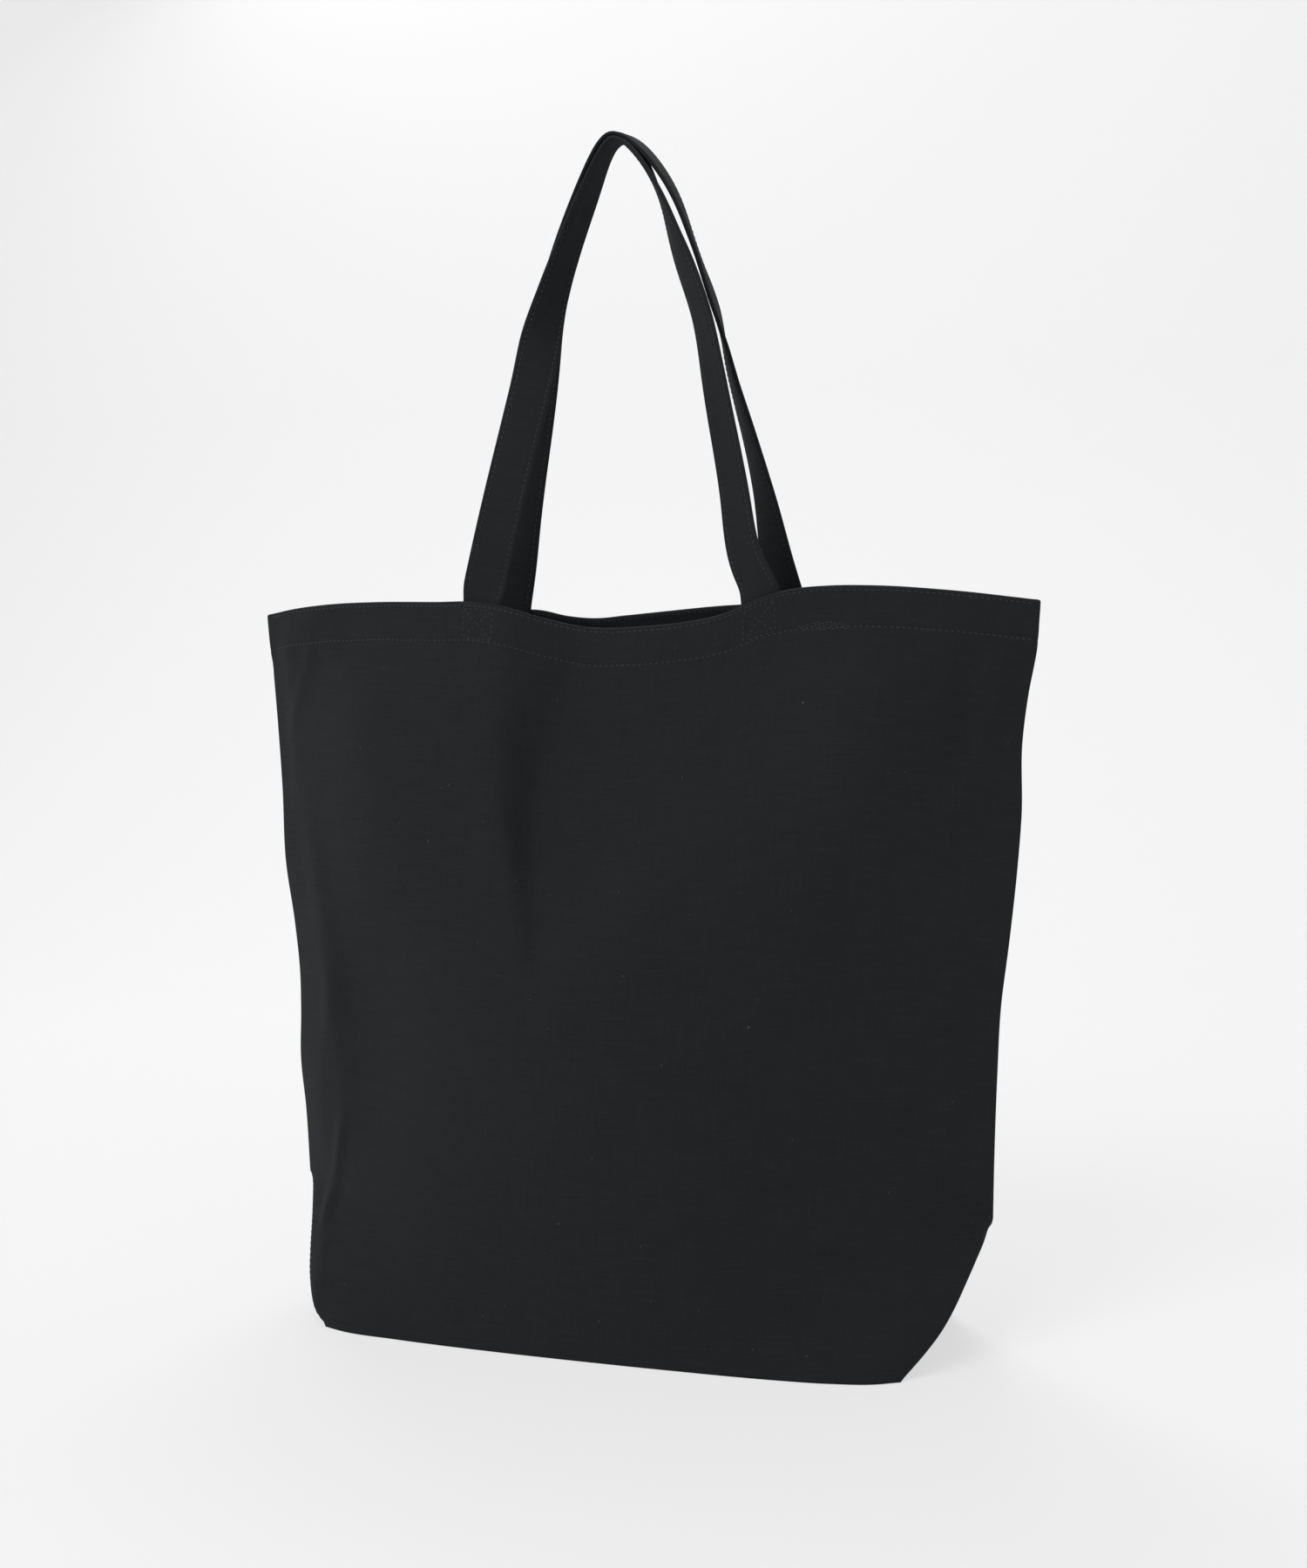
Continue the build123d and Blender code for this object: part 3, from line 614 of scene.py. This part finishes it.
class Strap:
    """One handle from its sewn end inside the hem, over the arch, to the other sewn end."""

    def __init__(self, cloth):
        facing = cloth.facing
        shape = STRAPS[facing]
        apex = np.array(shape["apex"])
        legs, feet = {}, {}
        depth_in = HEM_THICK + STRAP_GAP + STRAP_THICK / 2
        for side in (LEFT, RIGHT):
            leg = []
            foot_x = shape["x"][side][0]
            for depth in (SEWN_END, SEWN_MIDDLE, SEWN_TOP):
                place, normal = cloth.at(foot_x, depth)
                leg.append(place - normal * depth_in)
            foot = leg[-1]
            for share, x in zip(STRAP_SHARES[1:], shape["x"][side][1:]):
                y = foot[1] + (apex[1] - foot[1]) * share
                leg.append(np.array([x, y, foot[2] + (apex[2] - foot[2]) * share]))
            legs[side] = leg
            feet[side] = (foot, cloth.at(foot_x, SEWN_FACE)[1])
        points = legs[LEFT] + [apex] + legs[RIGHT][::-1]
        self.places, self.ways, knots, self.run = spline(points, STRAP_STEP)
        top = knots[len(legs[LEFT])]
        outward = np.array([0.0, facing, 0.0])
        self.normals = []
        for place, way, s in zip(self.places, self.ways, self.run):
            side = LEFT if s < top else RIGHT
            foot, sewn = feet[side]
            share = np.clip((place[2] - foot[2]) / (apex[2] - foot[2]), 0, 1)
            out = outward - way * (outward @ way)
            out /= np.linalg.norm(out)
            up = np.cross(out, way) * -facing
            turn = math.radians(float(along(shape["turn"][side], share)))
            free = out * math.cos(turn) + up * math.sin(turn)
            held = sewn - way * (sewn @ way)
            held /= np.linalg.norm(held)
            mixed = held + (free - held) * float(ramp(0.0, HELD_SHARE, share))
            self.normals.append(mixed / np.linalg.norm(mixed))
        self.normals = np.array(self.normals)
        self.across = np.cross(self.normals, self.ways)


# Half section of a strap: across, and up from its middle; it dips along the two stitched rows
PROFILE_X = np.array([-12.5, -12.1, -11.3, -10.4, -9.6, -8.8, -6.5, -3, 0, 3, 6.5, 8.8, 9.6, 10.4, 11.3, 12.1, 12.5])
PROFILE_Z = np.array([0.0, 0.85, 1.22, 1.2, 0.98, 1.2, 1.3, 1.3, 1.28, 1.3, 1.3, 1.2, 0.98, 1.2, 1.22, 0.85, 0.0])


def ribbon_mesh(name, places, normals, across, run, profile, material, bulge, offset=0.0):
    """Closed band of a given half profile swept along places."""
    px, pz = profile
    ring_x = np.concatenate([px, px[-2:0:-1]])
    ring_z = np.concatenate([pz, -pz[-2:0:-1]])
    count = len(ring_x)
    points, coords = [], []
    for place, normal, side, s in zip(places, normals, across, run):
        cup = bulge * (0.6 * math.sin(s / 37.0 + 0.5) + 0.4 * math.sin(s / 61.0))
        cupped = cup * ((ring_x / px[-1]) ** 2 - 0.33)
        points.append(place + np.outer(ring_x, side) + np.outer(ring_z + cupped, normal))
        coords.append(np.stack([ring_x + offset, np.full(count, s), np.sign(ring_z) * 3.0], axis=1))
    faces = []
    rings = len(places)
    for r in range(rings - 1):
        for c in range(count):
            d = (c + 1) % count
            faces.append((r * count + c, r * count + d, (r + 1) * count + d, (r + 1) * count + c))
    faces.append(tuple(range(count))[::-1])
    faces.append(tuple((rings - 1) * count + c for c in range(count)))
    return mesh_piece(name, np.concatenate(points), faces, material, np.concatenate(coords))


class Stitches:
    """Many short threads in one mesh."""

    RINGS = ((-0.5, 0.25), (-0.36, 0.8), (-0.12, 1.0), (0.12, 1.0), (0.36, 0.8), (0.5, 0.25))
    SIDES = 6
    PROUD, SUNK = 0.35, 1.5

    def __init__(self):
        self.points, self.faces, self.coords = [], [], []

    def add(self, place, way, normal, radius):
        way = way / np.linalg.norm(way)
        normal = normal - way * (normal @ way)
        normal = normal / np.linalg.norm(normal)
        side = np.cross(way, normal)
        first = len(self.points)
        for share, size in self.RINGS:
            sink = radius * self.SUNK * (2 * abs(share)) ** 3
            middle = place + way * share * STITCH_LENGTH + normal * (radius * self.PROUD - sink)
            for k in range(self.SIDES):
                angle = 2 * math.pi * k / self.SIDES
                around = normal * math.cos(angle) + side * math.sin(angle)
                self.points.append(middle + around * radius * size)
                self.coords.append((k, share * STITCH_LENGTH, first))
        count = self.SIDES
        rings = len(self.RINGS)
        for r in range(rings - 1):
            for k in range(count):
                d = (k + 1) % count
                a, b = first + r * count, first + (r + 1) * count
                self.faces.append((a + k, b + k, b + d, a + d))
        self.faces.append(tuple(first + k for k in range(count)))
        end = first + (rings - 1) * count
        self.faces.append(tuple(end + k for k in range(count))[::-1])

    def along_line(self, places, normals, pitch=STITCH_PITCH, phase=0.0, radius=STITCH_RADIUS):
        """Stitches at even steps along a line of points."""
        spans = np.linalg.norm(np.diff(places, axis=0), axis=1)
        run = np.concatenate([[0], np.cumsum(spans)])
        count = int(run[-1] / pitch)
        for k in range(count):
            s = (k + 0.5 + phase) * pitch
            a, b = s - pitch / 4, s + pitch / 4
            if b > run[-1]:
                break
            ends = [np.array([np.interp(t, run, places[:, i]) for i in range(3)]) for t in (a, b)]
            normal = np.array([np.interp(s, run, normals[:, i]) for i in range(3)])
            self.add((ends[0] + ends[1]) / 2, ends[1] - ends[0], normal, radius)

    def piece(self, name, material):
        return mesh_piece(name, np.array(self.points), self.faces, material, np.array(self.coords))


# Materials
def nodes_of(material):
    material.use_nodes = True
    tree = material.node_tree
    return tree, tree.nodes["Principled BSDF"]


def math_node(tree, operation, a, b=None):
    node = tree.nodes.new("ShaderNodeMath")
    node.operation = operation
    for socket, value in zip(node.inputs, (a, b)):
        if value is None:
            continue
        if isinstance(value, (int, float)):
            socket.default_value = value
        else:
            tree.links.new(value, socket)
    return node.outputs[0]


def noise_node(tree, vector, scale, detail, rough=0.5):
    node = tree.nodes.new("ShaderNodeTexNoise")
    node.inputs["Scale"].default_value = scale
    node.inputs["Detail"].default_value = detail
    node.inputs["Roughness"].default_value = rough
    tree.links.new(vector, node.inputs["Vector"])
    return node.outputs["Fac"]


def spread_node(tree, value, low, high, to_low, to_high):
    node = tree.nodes.new("ShaderNodeMapRange")
    for name, number in (("From Min", low), ("From Max", high), ("To Min", to_low), ("To Max", to_high)):
        node.inputs[name].default_value = number
    tree.links.new(value, node.inputs["Value"])
    return node.outputs["Result"]


def mix_colour(tree, factor, first, second):
    node = tree.nodes.new("ShaderNodeMix")
    node.data_type = "RGBA"
    sockets = [s for s in node.inputs if s.type == "RGBA"]
    for socket, value in zip(sockets, (first, second)):
        if isinstance(value, tuple):
            socket.default_value = (*value, 1.0)
        else:
            tree.links.new(value, socket)
    tree.links.new(factor, node.inputs[0])
    return [s for s in node.outputs if s.type == "RGBA"][0]


def stretched(tree, vector, x, y):
    node = tree.nodes.new("ShaderNodeMapping")
    node.inputs["Scale"].default_value = (x, y, 1.0)
    tree.links.new(vector, node.inputs["Vector"])
    return node.outputs["Vector"]


def cloth_coordinates(tree):
    node = tree.nodes.new("ShaderNodeAttribute")
    node.attribute_name = "cloth"
    return node.outputs["Vector"]


def bump(tree, shader, height, distance, strength):
    node = tree.nodes.new("ShaderNodeBump")
    node.inputs["Distance"].default_value = distance
    node.inputs["Strength"].default_value = strength
    tree.links.new(height, node.inputs["Height"])
    tree.links.new(node.outputs["Normal"], shader.inputs["Normal"])


def seen_by_eye(tree):
    """1 for rays that show a surface as it is seen, 0 for rays that light other surfaces."""
    path = tree.nodes.new("ShaderNodeLightPath")
    seen = math_node(tree, "MAXIMUM", path.outputs["Is Camera Ray"], path.outputs["Is Glossy Ray"])
    return math_node(tree, "MAXIMUM", seen, path.outputs["Is Transmission Ray"])


# Weave: detail per metre of cloth, and how high each kind of detail stands
SLUB_FINE, SLUB_LONG, SLUB_HEIGHT, WEFT_SLUB = 900, 40, 0.55, 1.5
FUZZ, FUZZ_HEIGHT = 2600.0, 0.5
WEAVE_BUMP, WEAVE_STRENGTH = 0.00022, 0.55
MOTTLE, LINT = 9.0, 420.0
# Thread: twist along it, in radians per metre, and plies round it
TWIST, PLIES, THREAD_FUZZ = 9000.0, 2000.0 * math.pi / 3, 3000.0
THREAD_BUMP, THREAD_STRENGTH = 0.00008, 0.6


def woven(name, dark, light, dust, pitch, sheen):
    """Plain woven cotton: over and under threads, slubs, mottling and lint."""
    material = bpy.data.materials.new(name)
    tree, shader = nodes_of(material)
    cloth = cloth_coordinates(tree)
    split = tree.nodes.new("ShaderNodeSeparateXYZ")
    tree.links.new(cloth, split.inputs[0])
    waves_of = []
    for axis in (0, 1):
        phase = math_node(tree, "MULTIPLY", split.outputs[axis], math.pi / pitch)
        waves_of.append(math_node(tree, "SINE", phase))
    warp, weft = (math_node(tree, "ABSOLUTE", w) for w in waves_of)
    over = math_node(tree, "MULTIPLY", *waves_of)
    is_warp = math_node(tree, "GREATER_THAN", over, 0.0)
    tall = math_node(tree, "MULTIPLY", warp, math_node(tree, "POWER", weft, 0.35))
    wide = math_node(tree, "MULTIPLY", weft, math_node(tree, "POWER", warp, 0.35))
    lean = math_node(tree, "MULTIPLY", is_warp, math_node(tree, "SUBTRACT", tall, wide))
    thread = math_node(tree, "ADD", wide, lean)
    warp_slub = noise_node(tree, stretched(tree, cloth, SLUB_FINE, SLUB_LONG), 1.0, 2.0)
    weft_slub = noise_node(tree, stretched(tree, cloth, SLUB_LONG, SLUB_FINE), 1.0, 2.0)
    slub = math_node(tree, "ADD", warp_slub, math_node(tree, "MULTIPLY", weft_slub, WEFT_SLUB))
    fuzz = noise_node(tree, cloth, FUZZ, 3.0, 0.7)
    height = math_node(tree, "ADD", thread, math_node(tree, "MULTIPLY", slub, SLUB_HEIGHT))
    height = math_node(tree, "ADD", height, math_node(tree, "MULTIPLY", fuzz, FUZZ_HEIGHT))
    bump(tree, shader, height, WEAVE_BUMP, WEAVE_STRENGTH)
    tone = mix_colour(tree, spread_node(tree, height, 0.6, 2.05, 0.0, 1.0), dark, light)
    worn = noise_node(tree, cloth, MOTTLE, 4.0, 0.6)
    tone = mix_colour(tree, spread_node(tree, worn, 0.35, 0.75, 0.0, 0.35), tone, light)
    lint = noise_node(tree, cloth, LINT, 1.0, 0.4)
    specks = spread_node(tree, lint, 0.79, 0.83, 0.0, 0.55)
    tone = mix_colour(tree, specks, tone, dust)
    tree.links.new(tone, shader.inputs["Base Color"])
    tree.links.new(spread_node(tree, height, 0.4, 2.0, 0.98, 0.82), shader.inputs["Roughness"])
    shader.inputs["Specular IOR Level"].default_value = 0.15
    shader.inputs["Sheen Weight"].default_value = sheen
    shader.inputs["Sheen Roughness"].default_value = 0.45
    return material


def twisted(name, dark, light):
    """Sewing thread: plies that wind round it."""
    material = bpy.data.materials.new(name)
    tree, shader = nodes_of(material)
    cloth = cloth_coordinates(tree)
    split = tree.nodes.new("ShaderNodeSeparateXYZ")
    tree.links.new(cloth, split.inputs[0])
    along_it = math_node(tree, "MULTIPLY", split.outputs[1], TWIST)
    round_it = math_node(tree, "MULTIPLY", split.outputs[0], PLIES)
    plies = math_node(tree, "SINE", math_node(tree, "ADD", along_it, round_it))
    fuzz = noise_node(tree, cloth, THREAD_FUZZ, 2.0)
    height = math_node(tree, "ADD", plies, fuzz)
    bump(tree, shader, height, THREAD_BUMP, THREAD_STRENGTH)
    tone = mix_colour(tree, spread_node(tree, height, -0.6, 1.6, 0.0, 1.0), dark, light)
    tree.links.new(tone, shader.inputs["Base Color"])
    tree.links.new(spread_node(tree, fuzz, 0.3, 0.7, 0.55, 0.75), shader.inputs["Roughness"])
    shader.inputs["Sheen Weight"].default_value = 0.1
    return material


# Colours: between the threads, on the threads, lint; then the pitch of the weave and its sheen
canvas = woven(
    "black_canvas", (0.0058, 0.0067, 0.0075), (0.0168, 0.0189, 0.0213), (0.13, 0.13, 0.13), 0.00062, 0.018,
)
tape = woven(
    "black_tape", (0.0055, 0.0062, 0.007), (0.015, 0.0165, 0.0185), (0.09, 0.09, 0.09), 0.0004, 0.04,
)
thread = twisted("black_thread", (0.010, 0.0107, 0.0118), (0.028, 0.029, 0.0315))


def on_bag(piece, slot, *nodes):
    """Fixes a piece to the bag in place of CAD nodes."""
    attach(piece, "bag")
    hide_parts(*nodes)


# Panels
cloths = {FRONT: Cloth(FRONT), BACK: Cloth(BACK)}
NAMES = {FRONT: "front", BACK: "back"}
for facing, cloth in cloths.items():
    label = NAMES[facing]
    piece = panel_piece(cloth, f"{label}_cloth", canvas)
    thicken(piece, CLOTH)
    on_bag(piece, "canvas", f"{label}_panel", f"{label}_hem_facing")

# Straps
STRAP_CUP, STRAP_CLOTH_AT = 0.9, 40.0


def on_handle(piece, label, slot, *nodes):
    """Hides the CAD nodes that a piece stands in for, and bakes the piece's placement into its mesh."""
    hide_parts(*nodes)
    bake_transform(piece)


straps = {}
for facing, cloth in cloths.items():
    label = NAMES[facing]
    strap = Strap(cloth)
    straps[facing] = strap
    piece = ribbon_mesh(
        f"{label}_strap", strap.places, strap.normals, strap.across, strap.run,
        (PROFILE_X, PROFILE_Z), canvas, bulge=STRAP_CUP, offset=STRAP_CLOTH_AT,
    )
    on_handle(piece, label, "canvas", f"{label}_handle", f"{label}_handle_ends")

# Thread along the straps
EDGE_LIFT, EDGE_FROM = STRAP_THICK / 2 - 0.34, HEIGHT + 3
for facing, strap in straps.items():
    label = NAMES[facing]
    rows = Stitches()
    keep = strap.places[:, 2] > EDGE_FROM
    for side in (-1, 1):
        for face in (-1, 1):
            line = strap.places + strap.across * side * EDGE_ROW + strap.normals * face * EDGE_LIFT
            rows.along_line(line[keep], strap.normals[keep] * face)
    piece = rows.piece(f"{label}_strap_edge_stitches", thread)
    on_handle(piece, label, "thread", f"{label}_handle_edge_stitches")

# Thread of the hem
HEM_END, HEM_END_INSIDE = 1.5, 14
for facing, cloth in cloths.items():
    label = NAMES[facing]
    for row_name, depth in (("upper", UPPER_ROW), ("lower", LOWER_ROW)):
        rows = Stitches()
        row = int(np.argmin(np.abs(DEPTHS - depth)))
        line, normal = cloth.grid[row], cloth.normal[row]
        inside = np.abs(line[:, 0]) < MOUTH_HALF - HEM_END
        rows.along_line(line[inside], normal[inside])
        inside = np.abs(line[:, 0]) < MOUTH_HALF - HEM_END_INSIDE
        level = normal.copy()
        level[:, 2] = 0
        rows.along_line((line - level * HEM_THICK)[inside], -normal[inside], phase=0.5)
        piece = rows.piece(f"{label}_{row_name}_hem_stitches", thread)
        on_bag(piece, "thread", f"{label}_hem_{row_name}_stitch")


def box_lines(middle):
    """Box round the sewn end of a strap, with a cross in it."""
    left, right = middle - EDGE_ROW, middle + EDGE_ROW
    corners = [(left, BOX_TOP), (right, BOX_TOP), (right, BOX_LOW), (left, BOX_LOW)]
    lines = [(corners[k], corners[(k + 1) % 4]) for k in range(4)]
    return lines + [(corners[0], corners[2]), (corners[1], corners[3])]


BOX_THROUGH, BOX_POINTS = HEM_THICK + STRAP_GAP + STRAP_THICK - 0.1, 9
for facing, cloth in cloths.items():
    label = NAMES[facing]
    rows = Stitches()
    for side in (LEFT, RIGHT):
        middle = STRAPS[facing]["x"][side][0]
        for start, finish in box_lines(middle):
            outer, inner, normals = [], [], []
            for share in np.linspace(0, 1, BOX_POINTS):
                x = start[0] + (finish[0] - start[0]) * share
                depth = start[1] + (finish[1] - start[1]) * share
                place, normal = cloth.at(x, depth)
                outer.append(place)
                inner.append(place - normal * BOX_THROUGH)
                normals.append(normal)
            rows.along_line(np.array(outer), np.array(normals), radius=BOX_RADIUS)
            rows.along_line(np.array(inner), -np.array(normals), phase=0.3, radius=BOX_RADIUS)
    piece = rows.piece(f"{label}_box_stitches", thread)
    on_bag(piece, "thread", f"{label}_handle_box_stitches")

# Backtack: the row sewn over itself, right of the right front handle
BACKTACK_RUNS = ((-1.1, 112, 139), (0.9, 115, 142), (-2.4, 121, 137))
BACKTACK_PITCH, BACKTACK_POINTS, BACKTACK_WANDER = 2.5, 14, 0.5
rows = Stitches()
for lift, start, finish in BACKTACK_RUNS:
    line = []
    for x in np.linspace(start, finish, BACKTACK_POINTS):
        line.append(cloths[FRONT].at(x, LOWER_ROW + lift + BACKTACK_WANDER * math.sin(x)))
    rows.along_line(np.array([p for p, _ in line]), np.array([n for _, n in line]), pitch=BACKTACK_PITCH)
piece = rows.piece("backtack_stitches", thread)
on_bag(piece, "thread", "hem_backtack_stitch")

# Bound seams inside
TAPE_X = np.array([-5.0, -4.85, -4.3, -3.2, -1.6, 0, 1.6, 3.2, 4.3, 4.85, 5.0])
TAPE_Z = np.array([0.0, 0.7, 1.05, 0.85, 1.1, 1.15, 1.1, 0.85, 1.05, 0.7, 0.0])
SEAM_INSET = 9.3
TAPE_ROW, TAPE_ROW_LIFT, TAPE_CUP = 3.2, 0.85, 0.25
SIDE_TAPE_LOW, SIDE_TAPE_TOP = 6.0, HEIGHT - HEM_DEPTH - 2.5


def tape_piece(name, node, places, normals, across):
    spans = np.linalg.norm(np.diff(places, axis=0), axis=1)
    run = np.concatenate([[0], np.cumsum(spans)])
    piece = ribbon_mesh(name, places, normals, across, run, (TAPE_X, TAPE_Z), tape, bulge=TAPE_CUP)
    on_bag(piece, "binding", node)


def seam_rows(name, node, lines):
    rows = Stitches()
    for places, normals in lines:
        rows.along_line(places, normals)
    on_bag(rows.piece(name, thread), "thread", node)


def steady(vector, count):
    return np.repeat(np.array([vector], float), count, axis=0)


side_lines = []
for side, label in ((LEFT, "left"), (RIGHT, "right")):
    z = np.linspace(SIDE_TAPE_LOW, SIDE_TAPE_TOP, 90)
    x = side * (seam_half(z, side) - SEAM_INSET)
    y = seam_y(z) + 0.35 * np.sin(z / 19.0 + side)
    places = np.stack([x, y, z], axis=1)
    ways = np.gradient(places, axis=0)
    ways /= np.linalg.norm(ways, axis=1, keepdims=True)
    normals = steady((0, 1, 0), len(z))
    normals = normals - ways * np.sum(normals * ways, axis=1, keepdims=True)
    across = np.cross(normals, ways)
    tape_piece(f"{label}_side_tape", f"{label}_seam_binding", places, normals, across)
    for face in (-1, 1):
        row = places + across * -TAPE_ROW * side + normals * face * TAPE_ROW_LIFT
        side_lines.append((row, normals * face))
seam_rows("side_seam_threads", "side_seam_stitches", side_lines)

FLOOR_TAPE_Z = 2.45
BOTTOM_TAPE_HALF, GUSSET_TAPE_HALF, GUSSET_TAPE_AT = 161.0, 66.0, 168.6
x = np.linspace(-BOTTOM_TAPE_HALF, BOTTOM_TAPE_HALF, 110)
places = np.stack([x, 0.3 * np.sin(x / 23.0), np.full(len(x), FLOOR_TAPE_Z)], axis=1)
normals = steady((0, 0, 1), len(x))
across = steady((0, -1, 0), len(x))
tape_piece("bottom_tape", "bottom_seam_binding", places, normals, across)
row = places + across * TAPE_ROW + normals * TAPE_ROW_LIFT
seam_rows("bottom_seam_threads", "bottom_seam_stitch", [(row, normals)])
gusset_lines = []
for side, label in ((LEFT, "left"), (RIGHT, "right")):
    y = np.linspace(-GUSSET_TAPE_HALF, GUSSET_TAPE_HALF, 50)
    x = side * (GUSSET_TAPE_AT + 0.25 * np.sin(y / 13.0))
    places = np.stack([x, y, np.full(len(y), FLOOR_TAPE_Z)], axis=1)
    normals = steady((0, 0, 1), len(y))
    across = steady((1, 0, 0), len(y))
    tape_piece(f"{label}_gusset_tape", f"{label}_gusset_binding", places, normals, across)
    gusset_lines.append((places + across * TAPE_ROW * side + normals * TAPE_ROW_LIFT, normals))
seam_rows("gusset_seam_threads", "gusset_seam_stitches", gusset_lines)

# Studio: pale floor that curves up into a pale backdrop
FLOOR_Z, FLOOR_FRONT, FLOOR_MIDDLE, FLOOR_BACK = -0.0004, -3.0, -1.0, 1.2
COVE, BACKDROP_MIDDLE, BACKDROP_TOP, STUDIO_HALF = 0.9, 2.0, 4.0, 4.0
profile = [(FLOOR_FRONT, 0.0), (FLOOR_MIDDLE, 0.0), (FLOOR_BACK, 0.0)]
for turn in np.radians(np.linspace(9, 90, 10)):
    profile.append((FLOOR_BACK + COVE * math.sin(turn), COVE * (1 - math.cos(turn))))
profile += [(FLOOR_BACK + COVE, BACKDROP_MIDDLE), (FLOOR_BACK + COVE, BACKDROP_TOP)]
points, faces = [], []
for x in (-STUDIO_HALF, STUDIO_HALF):
    points += [(x, y, z + FLOOR_Z) for y, z in profile]
count = len(profile)
for k in range(count - 1):
    faces.append((k, k + 1, count + k + 1, count + k))
mesh = bpy.data.meshes.new("studio")
mesh.from_pydata(points, [], [f[::-1] for f in faces])
mesh.polygons.foreach_set("use_smooth", [True] * len(faces))
studio = bpy.data.objects.new("studio", mesh)
bpy.context.scene.collection.objects.link(studio)
PAPER_GLOW = 0.66
paper = bpy.data.materials.new("studio_paper")
tree, shader = nodes_of(paper)
shader.inputs["Base Color"].default_value = (0.88, 0.88, 0.88, 1.0)
shader.inputs["Roughness"].default_value = 0.9
shader.inputs["Specular IOR Level"].default_value = 0.1
glow = tree.nodes.new("ShaderNodeEmission")
glow.inputs["Color"].default_value = (0.96, 0.96, 0.96, 1.0)
join = tree.nodes.new("ShaderNodeMixShader")
tree.links.new(math_node(tree, "MULTIPLY", seen_by_eye(tree), PAPER_GLOW), join.inputs[0])
tree.links.new(shader.outputs[0], join.inputs[1])
tree.links.new(glow.outputs[0], join.inputs[2])
tree.links.new(join.outputs[0], tree.nodes["Material Output"].inputs["Surface"])
mesh.materials.append(paper)

# World: a plain level of light on the object, pale where it is seen
WORLD_LIGHT, WORLD_SEEN = 0.42, 0.92
world = bpy.data.worlds.new("studio_world")
world.use_nodes = True
tree = world.node_tree
tree.nodes["Background"].inputs["Color"].default_value = (1.0, 1.0, 1.0, 1.0)
strength = spread_node(tree, seen_by_eye(tree), 0.0, 1.0, WORLD_LIGHT, WORLD_SEEN)
tree.links.new(strength, tree.nodes["Background"].inputs["Strength"])
bpy.context.scene.world = world


def area_light(name, place, aim, size, power):
    lamp = bpy.data.lights.new(name, "AREA")
    lamp.shape = "RECTANGLE"
    lamp.size, lamp.size_y = size
    lamp.energy = power
    holder = bpy.data.objects.new(name, lamp)
    bpy.context.scene.collection.objects.link(holder)
    holder.location = place
    holder.rotation_mode = "QUATERNION"
    holder.rotation_quaternion = (Vector(aim) - Vector(place)).to_track_quat("-Z", "Y")


# Soft key from the front left, and a light from behind that lifts the floor and the edges
LIGHT_AIM, LIGHT_SIZE = (0, 0, 0.3), (1.6, 1.6)
area_light("key", (-0.5, -2.4, 1.9), LIGHT_AIM, LIGHT_SIZE, 39.0)
area_light("rim", (-0.8, 1.7, 2.3), (0, 0.3, 0.3), LIGHT_SIZE, 34.0)

# Camera, fitted to the corners of the bag in the photograph
CAMERA_YAW, CAMERA_LIFT, CAMERA_AWAY = math.radians(18.54), math.radians(1.37), 1.3
CAMERA_AIM = Vector((0.0071, 0.0, 0.3249))
LENS, SENSOR = 49.6, 36.0
camera = bpy.data.cameras.new("camera")
camera.lens = LENS
camera.sensor_width = SENSOR
holder = bpy.data.objects.new("camera", camera)
bpy.context.scene.collection.objects.link(holder)
back = Vector((
    math.sin(CAMERA_YAW) * math.cos(CAMERA_LIFT),
    -math.cos(CAMERA_YAW) * math.cos(CAMERA_LIFT),
    math.sin(CAMERA_LIFT),
))
holder.location = CAMERA_AIM + back * CAMERA_AWAY
holder.rotation_mode = "QUATERNION"
holder.rotation_quaternion = (-back).to_track_quat("-Z", "Y")
bpy.context.scene.camera = holder
bpy.context.scene.view_settings.view_transform = "Standard"
